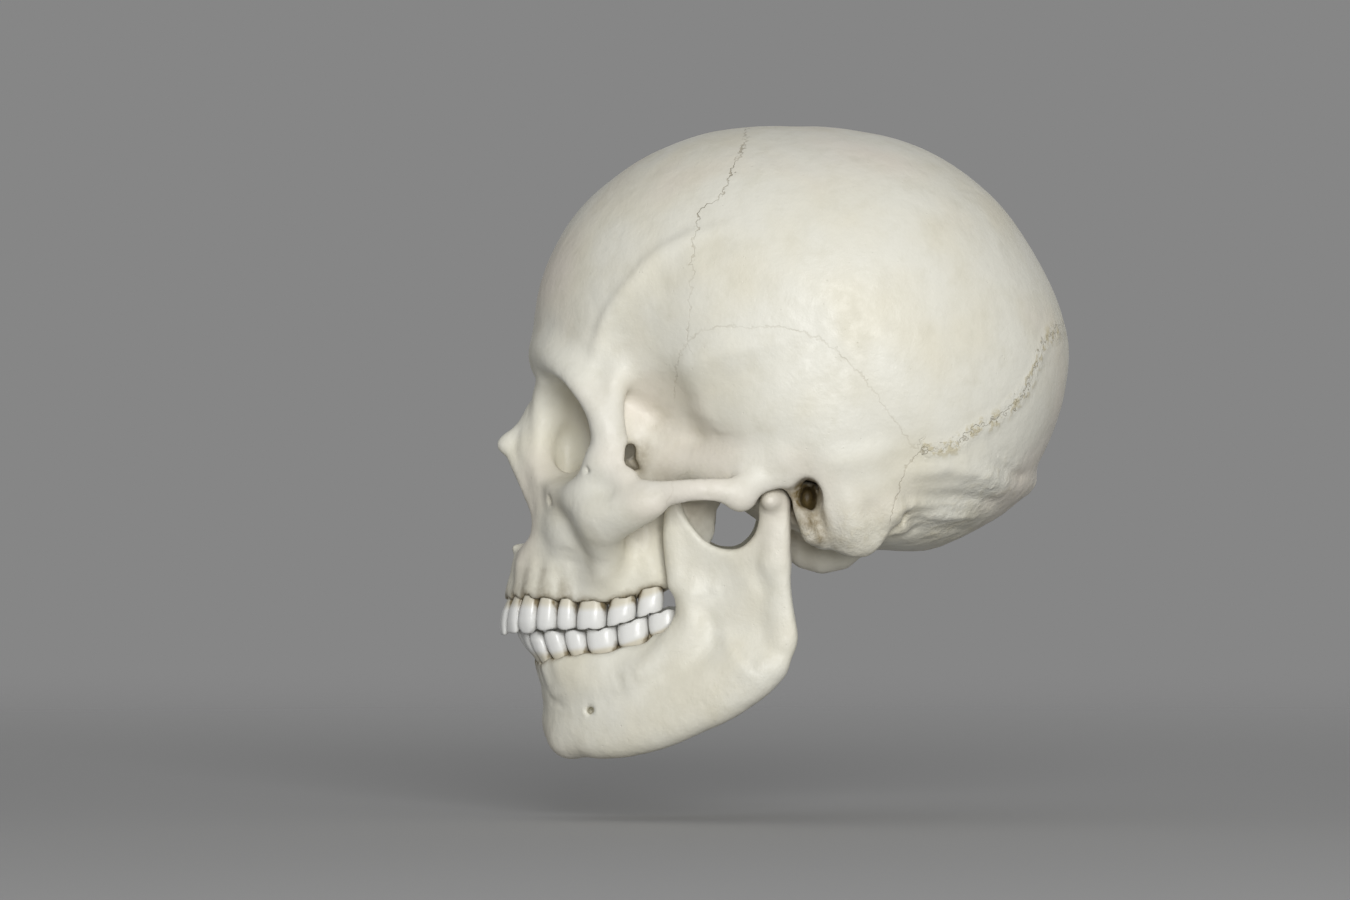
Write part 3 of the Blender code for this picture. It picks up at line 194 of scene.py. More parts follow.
# Masses, each row a place and three radii
MAXILLA_SHARES = (20, -71, -13, 17, 17, 19)
MASTOID_SHARES = (52, 16.5, -4, 10, 13.5, 19.6)
ORBIT_BLOCK_SHARES = (25, -63, 15, 21, 19, 20)
TEMPLE_SHARES = (73, -56, 8, 31, 17, 44)
INFRATEMPORAL_SHARES = (46, -40, -18, 19, 14, 15)
MIDDLE_FOSSA_SHARES = (34, -28, 24, 20, 22, 15)

# Orbit axis: a place, and the opening's size there as a share of its full size
ORBIT_AXIS_SHARES = (
    (36, -104, 20, 1.05), (31, -84, 18.6, 1), (26, -70, 18.6, 0.88), (18, -54, 20, 0.5),
    (12, -44, 21, 0.2))
ORBIT_FRONT_SHARES = ((14, -78, 0), (42, -64, 0))
# Nasal cavity, from the pear-shaped opening back to the choanae
NASAL_AXIS_SHARES = ((-110, -6, 16, 1), (-92, -5, 16.5, 1), (-80, -3, 18, 0.95), (-64, -4, 17, 0.9),
                     (-48, -8, 13, 0.9), (-36, -12, 12, 0.9))
PEAR_SHARES = ((-1, 0.55), (-0.85, 0.86), (-0.45, 1), (0, 0.82), (0.5, 0.5), (0.85, 0.34), (1, 0.2))
FISSURE_SHARES = ((42, -58.4, 12, 2), (42, -58.6, 8, 2.2), (42, -55, 5.2, 1.7), (42, -50.8, 4.2, 1.1))
FISSURE_SECTION_SHARES = (8, 1, 1)
SEPTUM_SHARES = ((0, -88, -22), (0, -38, 16))
SEPTUM_LEAN_SHARE = 0.125
PALATE_SHARES = (
    (0, -94, -25), (10, -92, -25), (18, -86, -25), (23, -76, -25), (26, -62, -25), (25, -50, -25),
    (14, -46, -25), (0, -44, -25))
FORAMEN_REACH_SHARES = ((0, 0, -40), (0, 42, -4))
EAR_SHARES = (0, 0.2, -4.2)
EAR_TROUGH_SHARES = ((61.6, 0.4, -3, 4.2), (61, 0.8, -9, 4.2), (59, 2, -16, 3.8), (57, 3.4, -21, 3))
EAR_FLARE_SHARES = (0.55, 1.25)
CANAL_REACH_SHARES = (34, 80)

# Dental arches: widths are real sizes, places are steps
TEETH = ("central_incisor", "lateral_incisor", "canine", "first_premolar", "second_premolar",
         "first_molar", "second_molar", "third_molar")
CROWN_WIDTHS = {
    "upper": (8.3 * MM, 6.8 * MM, 7.4 * MM, 6.9 * MM, 6.4 * MM, 9.6 * MM, 9.4 * MM, 8.5 * MM),
    "lower": (5.3 * MM, 5.8 * MM, 6.7 * MM, 6.9 * MM, 7.1 * MM, 10 * MM, 10 * MM, 9.6 * MM)}
CROWN_DEPTHS = {
    "upper": (6.6 * MM, 6.2 * MM, 7.6 * MM, 8.4 * MM, 8.4 * MM, 10.2 * MM, 10.2 * MM, 9.2 * MM),
    "lower": (5.6 * MM, 5.8 * MM, 7 * MM, 7.2 * MM, 7.6 * MM, 9.4 * MM, 9.2 * MM, 8.8 * MM)}
ROOT_LENGTH = 9 * MM
ROOT_UPRIGHT_SHARE = 0.4
ALVEOLAR_WALL = 1 * MM
ALVEOLAR_ROUND = 1.5 * MM
ALVEOLAR_RISE = 18 * MM
ALVEOLAR_DROP = 12 * MM
FRONT_STEP_SHARE = 0.4
ARCH_HUB_SHARES = (0, -62, 0)
ARCH_LEAN_SHARES = {"upper": (0.05, 0.14), "lower": (-0.06, 0.22)}
TOOTH_GAP = 0.25 * MM
NECK_SHARE = 0.86
# Middle of each tooth at its neck, and of its cutting or biting end, from the midline back
NECK_PLACE_SHARES = {
    "upper": (
        (4.4, -97, -39.2), (12, -94.6, -38.8), (18.4, -90, -38.6), (22.6, -84.2, -39),
        (25, -78, -39.4), (27.2, -70.4, -40), (29, -61, -38.8), (29.6, -51.8, -35.4)),
    "lower": (
        (2.9, -88.6, -57.2), (8.6, -87.8, -57.4), (14.2, -85.4, -57.4), (18.6, -81.2, -56.4),
        (21.8, -75.6, -55.4), (24.6, -67.2, -54.8), (27, -57, -52.2), (29.2, -47, -48))}
TIP_PLACE_SHARES = {
    "upper": (
        (4.6, -100.8, -50), (12.6, -97.6, -49.2), (18.8, -91.8, -49.2), (22.6, -84.8, -48.2),
        (25, -78.5, -47.8), (27.2, -70.8, -48), (29.2, -61.4, -46.2), (30, -52, -42.6)),
    "lower": (
        (2.9, -96, -48.4), (8.8, -94, -48.4), (14.8, -89.6, -48.8), (18.8, -84, -49.2),
        (21.8, -77.2, -49), (24.6, -68.2, -49.2), (26.8, -57.8, -47.4), (28.8, -47.8, -43.6))}

# Rings of a tooth from root tip to biting end: how far along (root below zero), then
# the width and the depth there as shares of the crown's
TOOTH_RING_SHARES = {
    "incisor": ((-1, 0.34, 0.42), (0, 0.84, 0.9), (0.3, 0.94, 1), (0.65, 1, 0.78),
                (0.9, 0.96, 0.46), (1, 0.82, 0.26)),
    "canine": ((-1, 0.34, 0.4), (0, 0.84, 0.9), (0.3, 0.97, 1), (0.65, 1, 0.86),
               (0.88, 0.84, 0.56), (1, 0.42, 0.3)),
    "premolar": ((-1, 0.34, 0.34), (0, 0.86, 0.88), (0.3, 0.97, 0.99), (0.65, 1, 1),
                 (0.9, 0.95, 0.9), (1, 0.78, 0.72)),
    "molar": ((-1, 0.5, 0.44), (0, 0.92, 0.9), (0.3, 0.99, 1), (0.65, 1, 1),
              (0.9, 0.98, 0.94), (1, 0.93, 0.84))}
TOOTH_FORMS = ("incisor", "incisor", "canine", "premolar", "premolar", "molar", "molar", "molar")
INNER_NARROWING_SHARE = 0.06
TOOTH_FULLNESS = 2.6
# The surface that the back teeth meet on, as places along the skull and heights
BITE_SHARES = (
    (-92, -48.6), (-84, -48.2), (-76, -48), (-69, -47.8), (-62, -46.2), (-55, -43.8), (-46, -41))

# Mandible: bars of bone, each row a place and a radius
LOWER_BORDER_SHARES = (
    (0, -78.8, -80.8, 6.3), (10, -78.4, -82.2, 6.2), (18.5, -73.5, -84.4, 5.8),
    (26, -63.5, -85.2, 5.2), (34, -49.5, -82.6, 4.6), (41, -33.5, -75.8, 4.3),
    (46.5, -19, -67.2, 3.8), (49, -12, -60.6, 3.4))
JAW_WALL_SHARES = (
    (0, -79, -72, 5), (9, -78.2, -72.5, 5), (18, -74, -73, 5.4), (26, -65.5, -73, 6),
    (33, -52.5, -71, 6.2), (39.5, -37, -65, 5.6), (44.5, -24, -58, 4.4))
ALVEOLAR_SHARES = (
    (0, -82, -62, 4), (8, -81.4, -62, 4), (13.6, -79.8, -62, 4.4), (18.4, -77, -61.8, 4.8),
    (22, -73, -61.4, 5.3), (25, -65.5, -60.6, 6), (28, -55.5, -58, 6.2), (30.5, -46, -54, 6),
    (33, -40, -50, 4.8))
OBLIQUE_SHARES = (
    (40.8, -38.4, -36, 2.8), (40.4, -38.4, -46, 3), (38.4, -44, -55, 3.2), (34.5, -56, -63, 2.4))
CHIN_SHARES = (0, -80.4, -81.4, 9, 5.2, 7)
CHIN_CORNER_SHARES = (12, -78.5, -85.5, 7, 6.2, 5.2)
# Side outline of the ramus: coronoid, notch, condyle neck, angle and front edge
RAMUS_SHARES = (
    (-44.6, -4.3), (-41.5, -8.3), (-37.8, -13.5), (-33.5, -18.2), (-28, -20.8), (-22.4, -20.6),
    (-18, -17), (-15.6, -11.5), (-15, -6), (-11, -3.5), (-7, -6), (-6.2, -18), (-6.2, -32),
    (-4.8, -42), (-3.6, -50), (-6, -57), (-11.4, -63.4), (-19, -69), (-30, -75), (-38, -70),
    (-42, -56), (-40.5, -44), (-43.5, -34), (-46.3, -26), (-47.4, -16), (-46.6, -8))
# The ramus leans out: its middle plane is a place across, and its slope back and up
RAMUS_PLANE_SHARES = ((56, 0, 0), (0.32, 0.1))
RAMUS_REACH_SHARES = (30, 62)
CONDYLE_SHARES = (51, -10.5, -4.9)
CONDYLE_TURN = math.radians(-16)
NECK_SHARES = ((50.5, -10.5, -8, 4), (50, -10, -16, 3.6), (49.6, -10.5, -26, 3.2))
BACK_BORDER_SHARES = ((49.6, -9.8, -26, 3.2), (48.6, -9.4, -40, 3.2), (48.6, -8.2, -51, 3.6))
CORONOID_SHARES = ((41.6, -43.5, -7, 1.8), (41, -43.5, -18, 2.6), (40.5, -43, -32, 3))
MENTAL_SHARES = ((26, -71, -75), (40, -73.5, -73.5))

# Corners of the two blocks of clay
CRANIUM_BLOCK_SHARES = ((0, -112, -50), (76, 98, 128))
MANDIBLE_BLOCK_SHARES = ((0, -100, -98), (66, 10, 8))

# How many points draw a curve
BAR_FINENESS = 3
CURVE_POINTS = 40
OUTLINE_POINTS = 90
VAULT_POINTS = 240
ARCH_POINTS = 400

SIDES = {"left": 1, "right": -1}
ROOT_WAYS = {"upper": 1, "lower": -1}
FAR = 8.0
TINY = 1e-6

# Finer forms of the cranium: ridges, pits and canals, in steps as above
INFRAORBITAL_SHARES = ((26, -66, -2), (29, -86, -5))
CHEEK_CANAL_SHARES = ((42, -60, 5), (54, -78, 5))
EAR_MOUTH_SHARES = (63, -0.5, -4, 7, 3.8, 5.6)
EAR_PLATE_SHARES = ((57, -1.6, -9.5, 2), (57.4, -0.4, -13, 2.6), (56.6, 1, -16.5, 2.6), (53, 5, -18, 3))
TEMPLE_WALL_SHARES = (
    (36, -50, 6, 2), (43, -40, 7, 4), (47.5, -33, 6.4, 5), (51, -26, 6, 6), (54, -19, 6, 6))
OPTIC_SHARES = ((8, -40, 22), (15, -54, 21))
ORBITAL_FISSURE_SHARES = ((13, -44, 17, 2), (20, -47, 21, 2), (27, -50, 26, 1.6))
LOWER_CONCHA_SHARES = ((8.5, -85, -9, 1.6), (7.5, -70, -8, 2.4), (7, -54, -9, 2))
MIDDLE_CONCHA_SHARES = ((6.5, -76, 4, 1.6), (5.6, -64, 3, 2.2), (5.4, -52, 1, 1.8))
LACRIMAL_PIT_SHARES = (11.5, -79.5, 11, 3, 3.4, 7)
INCISIVE_SHARES = ((0, -84, -16), (0, -90, -34))
PALATINE_SHARES = ((15, -50, -18), (16, -51, -34))
CAROTID_SHARES = ((24, -2, 2), (27, 0, -24))
JUGULAR_SHARES = ((25, 8, 0), (26, 7, -26))
OVAL_SHARES = ((24, -18, 8), (24, -20, -16))
CANAL_WIDTH = 3 * MM
WIDE_CANAL_WIDTH = 6 * MM
PIT_WIDTH = 1.6 * MM
MASTOID_NOTCH_SHARES = ((50, 26, -22, 2.2), (52, 30, -10, 1.8))
# Soft strokes on the outside of the cranium: places along the skull and heights in steps, then half
# the stroke's width and its height
BONE_STROKES = (
    (((-72, 33.5), (-69.7, 47), (-64.6, 58.6), (-55.3, 70.4), (-45.9, 78), (-35.2, 82.8), (-22, 86)),
     2.6 * MM, 1.3 * MM),
    (((-67, 36), (-63.6, 46), (-57, 57), (-48, 66), (-36, 72)), 8 * MM, -1.8 * MM),
    (((3, 6), (12, 8), (22, 10), (32, 14)), 4 * MM, 0.7 * MM),
    (((12, 0), (14, -12), (15, -21)), 3 * MM, 0.8 * MM),
    (((20, -4), (22, -14), (23, -20)), 2.4 * MM, -1.1 * MM),
    (((26, -4), (30, -12), (34, -18)), 2.6 * MM, 1.1 * MM),
    (((28, 3), (42, 5), (56, 4), (70, -1)), 3.4 * MM, 1.4 * MM),
    (((30, -4), (44, -4), (58, -5), (68, -8)), 2.6 * MM, -1.5 * MM),
    (((36, -10), (46, -10), (58, -11)), 2 * MM, 1.3 * MM),
    (((38, -15), (48, -15), (56, -15)), 1.8 * MM, -1 * MM),
    (((60, 8), (68, 4), (74, 2)), 2 * MM, -1 * MM),
    (((24, -14), (29, -9), (36, -6), (44, -8)), 1.6 * MM, 0.9 * MM),
    (((26, -17), (32, -12.5), (40, -11.5)), 1.4 * MM, -0.8 * MM),
    (((46, 6), (46.6, 0), (47.4, -6)), 1.5 * MM, -0.6 * MM),
    (((50, 13), (52, 6), (53, 1)), 1.6 * MM, 0.6 * MM),
    (((59, 18), (62, 12), (66, 8)), 1.6 * MM, -0.6 * MM),
    (((48, 98), (52, 97.6), (55, 97.8), (58.6, 95.6)), 1 * MM, -0.5 * MM),
    (((-42, 46), (-38, 36), (-34, 26), (-32, 16)), 8 * MM, 2 * MM),
    (((13, -83, 21), (14, -81, 13), (15.4, -79, 6)), 1.3 * MM, 0.8 * MM),
    (((-80, -20), (-78.5, -28)), 4 * MM, -0.8 * MM),
    (((-68.7, -20), (-68.7, -27), (-67, -34)), 4 * MM, 0.8 * MM))

# Finer forms of the mandible, then its soft strokes
MYLOHYOID_SHARES = ((36, -44, -54, 2), (27, -56, -64, 2), (19, -66, -72, 1.8), (8, -74, -77, 1.4))
GENIAL_SHARES = ((2.4, -74, -78, 2), (2, -73, -81, 2))
JAW_CANAL_SHARES = ((42.5, -27, -36), (37, -27, -33))
LINGULA_SHARES = ((43.6, -30, -34, 1.6), (43, -28.5, -29, 1.4))
JAW_STROKES = (
    (((-26.3, -50.6), (-21, -57), (-16.4, -62)), 1.5 * MM, -0.6 * MM),
    (((-38.5, -36.9), (-33, -44), (-28.5, -50.6)), 3 * MM, -0.6 * MM),
    (((-20.1, -24.5), (-16, -31), (-12.4, -36.9)), 3 * MM, -0.5 * MM),
    (((-31, -46), (-25, -53), (-20, -60), (-17, -64)), 2.2 * MM, 0.5 * MM),
    (((-10.6, -12), (-13, -22), (-18.4, -31.8), (-24, -40)), 4 * MM, 0.6 * MM),
    (((-30, -24), (-28, -32), (-26, -38)), 6 * MM, -0.8 * MM),
    (((-44, -38), (-46, -48), (-52, -58), (-60, -65), (-68, -69)), 4 * MM, 0.8 * MM),
    (((-56, -62), (-64, -66)), 4 * MM, -0.5 * MM),
    (((-84.5, -70), (-84, -74)), 4 * MM, -0.5 * MM))

# Bone over the tooth roots: how far the ridges stand out and the scallops reach
JUGUM_RISE = 0.9 * MM
JUGUM_SHARES = {
    "upper": (0.7, 0.6, 1, 0.75, 0.6, 0.6, 0.4, 0.2),
    "lower": (0.5, 0.5, 0.9, 0.5, 0.4, 0.3, 0.1, 0)}
SCALLOP_DEPTH = 0.7 * MM
SCALLOP_SHARE = 0.6
# How many scallop depths high a scallop is, and how many its middle lies below the neck
SCALLOP_RISE = 4
SCALLOP_DROP = 3

# Sutures: how far they swing in mm, how dark they are, then places along the skull and heights
# in steps
SEAM_SHARES = {
    "coronal": (1.6, 0.7, ((-18.4, 119.6), (-20.6, 114), (-22.4, 108.9), (-26.8, 98.8), (-30.2, 93.8),
                           (-35.2, 90.5), (-36.9, 83.8))),
    "lower_coronal": (1.4, 0.3, ((-36.9, 83.8), (-37.9, 75.4), (-38.5, 62), (-40.2, 46.9), (-43.6, 30))),
    "squamous": (0.8, 0.22, ((-40.2, 46.9), (-34, 51), (-28.5, 51.9), (-15, 51.9), (-5, 51.3), (5, 46.9),
                             (15.1, 38.5), (21.8, 30.2), (26.8, 23.5), (35.2, 11.7))),
    "lambdoid": (3, 0.6, ((86.6, 54.6), (82.5, 51), (78.7, 46.9), (75.4, 38.5), (72, 31.8), (67, 25.8),
                          (62, 21.8), (55.3, 18.4), (48.6, 13.4), (36.9, 11.7))),
    "mastoid": (1.2, 0.4, ((36.9, 11.7), (32, 5), (29.4, -2), (28, -9))),
    "arch": (0.4, 0.15, ((-43, 2), (-44.4, -1), (-46, -5)))}
SAGITTAL_SWING = 1.8
SAGITTAL_DARKNESS = 0.6
# Places where old stain sits, each row a place, a reach and a strength
STAIN_SHARES = ((57, -0.6, -3, 7, 1.5), (59, 1.4, -11, 6, 0.9), (57, 3.6, -17, 5, 0.8), (50, -1, -5, 8, 2),
                (42, -0.5, -5, 8, 2), (36, 0, -4, 8, 2), (42, -56, 12, 7, 0.4), (34, -55, 9, 8, 0.9),
                (38, -48, 20, 8, 0.2), (44, -48, 3, 7, 0.25), (23, -38, -10, 10, 0.35),
                (28, -46, -34, 7, 0.5), (50, -12, 2, 8, 0.5), (58, 8, -19, 6, 0.4))
# Places where muscles left the surface rough
ROUGH_SHARES = ((40, 62, -4, 18, 0.8), (36, 48, -14, 20, 0.8), (10, 72, -2, 18, 0.8), (50, 26, -10, 14, 0.9),
                (56, 14, -14, 12, 0.9), (20, 56, -16, 22, 0.7), (54, 34, 6, 12, 0.3), (59, 2, -15, 6, 1.8),
                (24, 81, 50, 8, 0.8))
JAW_ROUGH_SHARES = ((54, -16, -62, 12, 0.3), (51, -28, -70, 12, 0.25), (20, -76, -80, 14, 0.15))

# The grids that the two bones are modelled on, and their triangles
CRANIUM_GRID = 1.1 * MM
MANDIBLE_GRID = 0.9 * MM
CRANIUM_FACES = 188000
MANDIBLE_FACES = 120000
OUTER_WEIGHT = 0.15
# Triangles smaller than this are merged away when thinning has turned them over
SLIVER_AREA = 0.1 * MM * MM
# The middle of the brain's space, and how far into its wall a place still counts as inner
CAVITY_SHARES = (0, 0, 50)
INNER_REACH = VAULT_WALL / 3
# How far round a form the clay is worked, so that later forms find all of it to blend with
JOIN_REACH = 15 * MM
MARGIN_CELLS = 3

# How close a tooth sits in its socket here, and how close teeth come to each other
SEAT_GAP = 0.08 * MM
CONTACT_GAP = 0.06 * MM

# Ridges over the roots: their width as a share of the tooth's, and the levels they run through
JUGUM_WIDTH_SHARE = 0.36
JUGUM_LEVEL_SHARES = (0.06, 0.3, 0.6, 0.85)

# Soft strokes: points along one, how far to its sides it reaches, and how soon its ends fade
STROKE_POINTS = 14
STROKE_REACH = 2.6
STROKE_ENDS = 4

# Marks on the bone
# How far out from the surface bone is sought, for the shade painted in the hollows
HOLLOW_SHADE_REACHES = (3 * MM, 8 * MM)
HAZE_REACH = 1.25
GUM_REACH = 2.2 * MM
SEAM_POINTS = 260
SEAM_REACH = 6 * MM

# Crowns: how finely they are drawn and how their ends close
CROWN_SIDES = 44
CROWN_RINGS = 20
ROOT_RINGS = 7
CLOSING_SHARES = (0.93, 0.8, 0.64, 0.46, 0.28, 0.12)
CUSP_DEPTH = 1.5 * MM
CUSP_SHARE = 0.1
EDGE_CROWN = 0.3 * MM
# Steps in which a tooth's rings are read, how many a corner is rounded over, and the share at either
# end where that fades out
RING_STEPS = 201
ROUNDING = 9
ROUND_END_SHARE = 0.1

# Dips of the biting surface: a depth as a share of the cusps', and a reach as a share of the half crown
MOLAR_NOTCH = (0.32, 0.2)
MOLAR_FURROW = (0.5, 0.22)
MOLAR_CROSS_FURROW = (0.3, 0.16)
PREMOLAR_FURROW = (0.8, 0.24)
# How far the rim falls away towards the next tooth, and how suddenly
MOLAR_FALL = (0.2, 3)
PREMOLAR_FALL = (0.4, 1.6)
PIT_SHARE = 0.25
RIM_SHARE = 0.5
GROOVE_SHARE = 0.75

# Stain on a crown: where the flank's begins and over how much it comes in, how that weakens from the
# neck to the tip and to what, then depth and reach of the stain round the neck
FLANK_SHARES = (0.66, 0.34)
FLANK_STAIN = (1.2, 0.6, 0.35)
NECK_STAIN = (0.3, 0.08)

# Camera, lamps and floor
SENSOR_WIDTH = 36
CAMERA_AWAY = 3.0
FRAME_WIDTH = 0.4522
FRAME_CENTRE = (-0.0646, 0.0357)
AIM = (0, -0.02, 0.04)
LAMPS = (("key_softbox", (2.7, 0.25, 0.55), 1.1, 59), ("back_softbox", (-2.0, 0.3, 0.6), 2.2, 5))
FILL_LIGHT = (0.32, 0.32, 0.32, 1)
FLOOR_RADIUS = 2.4
FLOOR_SIDES = 96
# The board is seen whole up to here, and is gone at this share of its radius
FADE_START = 0.25
FADE_END_SHARE = 0.9

# How matt the board is and how glossy the teeth, and how strongly resin and acrylic bend light
BOARD_ROUGHNESS = 0.9
TOOTH_ROUGHNESS = 0.3
RESIN_IOR = 1.5
# How far the open jaw reaches below its place at rest
JAW_DIP = 20 * MM

# Kinds of node in the tables of the materials: type, settings, sockets in a row's order, result
NODE_KINDS = {
    "NOISE": ("ShaderNodeTexNoise", {}, ("Vector", "Scale", "Detail", "Roughness"), "Fac"),
    "CELLS": ("ShaderNodeTexVoronoi", {"feature": "F1"}, ("Vector", "Scale"), "Distance"),
    "SPREAD": ("ShaderNodeMapRange", {"interpolation_type": "SMOOTHSTEP"},
               ("Value", "From Min", "From Max", "To Min", "To Max"), "Result"),
    "BLEND": ("ShaderNodeMix", {"data_type": "RGBA"}, ("Factor", "A", "B"), "Result"),
    "ADD": ("ShaderNodeMath", {"operation": "ADD"}, (0, 1), "Value"),
    "SUBTRACT": ("ShaderNodeMath", {"operation": "SUBTRACT"}, (0, 1), "Value"),
    "MULTIPLY": ("ShaderNodeMath", {"operation": "MULTIPLY"}, (0, 1), "Value"),
    "ABSOLUTE": ("ShaderNodeMath", {"operation": "ABSOLUTE"}, (0,), "Value"),
    "BUMP": ("ShaderNodeBump", {}, ("Height", "Strength", "Distance"), "Normal")}

# What the relief's nodes ask for: widths and heights in mm, and a number that picks the noise
RELIEF_INPUTS = (("Grain", 7.0), ("Depth", 0.15), ("Rough Grain", 5.0), ("Rough Depth", 0.9), ("Seed", 3.0))

# The jaw's clay, kept for the cranium to be cut clear of
FORMS = {}


def place(step_place):
    """A place in steps from the ear point, as metres from the origin."""
    return np.array([(step_place[i] - ORIGIN_SHARES[i]) * STEP[i] for i in range(3)])


def side_places(rows):
    """Rows of place along the skull and height, in steps, as metres from the origin."""
    return np.array([place((0,) + tuple(row))[1:] for row in rows])


def spline(points, count, closed=False):
    """Points of a smooth curve through the given points."""
    pts = np.array(points, float)
    if closed:
        ctrl = np.concatenate([pts[-1:], pts, pts[:2]])
        spans = len(pts)
    else:
        ctrl = np.concatenate([2 * pts[:1] - pts[1:2], pts, 2 * pts[-1:] - pts[-2:-1]])
        spans = len(pts) - 1
    u = np.linspace(0, spans, count, endpoint=not closed)
    i = np.minimum(u.astype(int), spans - 1)
    t = (u - i)[:, None]
    p0, p1, p2, p3 = ctrl[i], ctrl[i + 1], ctrl[i + 2], ctrl[i + 3]
    return (p1 + (p2 - p0) * t / 2 + (2 * p0 - 5 * p1 + 4 * p2 - p3) * t ** 2 / 2
            + (3 * p1 - p0 - 3 * p2 + p3) * t ** 3 / 2)


def smooth_min(a, b, blend):
    """The nearer of two surfaces, with their join rounded over the blend."""
    if blend <= 0:
        return np.minimum(a, b)
    h = np.maximum(blend - np.abs(a - b), 0) / blend
    return np.minimum(a, b) - h * h * blend / 4


def bar(table, stretch=(1, 1, 1), smooth=False):
    """A round bar through rows of place and radius; stretch makes its section oval."""
    points = np.array([place(row) for row in table])
    radii = np.array([row[3] * MEAN_STEP for row in table])
    if smooth:
        both = spline(np.column_stack([points, radii]), BAR_FINENESS * (len(table) - 1) + 1)
        points, radii = both[:, :3], both[:, 3]
    s = np.array(stretch, float)
    low = (points - radii[:, None] * s).min(0)
    high = (points + radii[:, None] * s).max(0)

    def field(x, y, z):
        best = None
        for a, b, ra, rb in zip(points[:-1], points[1:], radii[:-1], radii[1:]):
            d = (b - a) / s
            px, py, pz = (x - a[0]) / s[0], (y - a[1]) / s[1], (z - a[2]) / s[2]
            t = np.clip((px * d[0] + py * d[1] + pz * d[2]) / (d @ d), 0, 1)
            away = np.sqrt((px - t * d[0]) ** 2 + (py - t * d[1]) ** 2 + (pz - t * d[2]) ** 2)
            away -= ra + (rb - ra) * t
            best = away if best is None else np.minimum(best, away)
        return best * s.min()
    return field, low, high


def bore(places, width, section=(1, 1, 1)):
    """A bar of one real width through rows of place."""
    return bar([row + (width / 2 / MEAN_STEP,) for row in places], section)


def mass(centre, radii, turn=0.0):
    """An oval mass, turned about the vertical."""
    c, r = np.array(centre, float), np.array(radii, float)
    ca, sa = math.cos(turn), math.sin(turn)
    reach = np.array([abs(ca) * r[0] + abs(sa) * r[1], abs(sa) * r[0] + abs(ca) * r[1], r[2]])

    def field(x, y, z):
        dx, dy = x - c[0], y - c[1]
        p = (ca * dx + sa * dy) / r[0]
        q = (-sa * dx + ca * dy) / r[1]
        w = (z - c[2]) / r[2]
        size = np.sqrt(p ** 2 + q ** 2 + w ** 2)
        slope = np.sqrt((p / r[0]) ** 2 + (q / r[1]) ** 2 + (w / r[2]) ** 2)
        return size * (size - 1) / np.maximum(slope, TINY)
    return field, c - reach, c + reach


def step_mass(row, turn=0.0):
    """An oval mass given in steps: a place and three radii."""
    return mass(place(row[:3]), [row[3 + i] * STEP[i] for i in range(3)], turn)


def rounded_edge(a, b, radius):
    """The space inside both of two walls, with the edge between them rounded."""
    outside = np.hypot(np.maximum(a + radius, 0), np.maximum(b + radius, 0))
    return outside + np.minimum(np.maximum(a, b) + radius, 0) - radius


def outline_distance(outline, u, v):
    """Signed distance to a closed outline in its own plane."""
    best = None
    inside = np.zeros(np.broadcast(u, v).shape, bool)
    for a, b in zip(outline, np.roll(outline, -1, 0)):
        d = b - a
        t = np.clip(((u - a[0]) * d[0] + (v - a[1]) * d[1]) / (d @ d), 0, 1)
        away = (u - a[0] - t * d[0]) ** 2 + (v - a[1] - t * d[1]) ** 2
        best = away if best is None else np.minimum(best, away)
        if a[1] != b[1]:
            crossing = (b[0] - a[0]) * (v - a[1]) / (b[1] - a[1]) + a[0]
            inside ^= ((a[1] > v) != (b[1] > v)) & (u < crossing)
    return np.where(inside, -np.sqrt(best), np.sqrt(best))


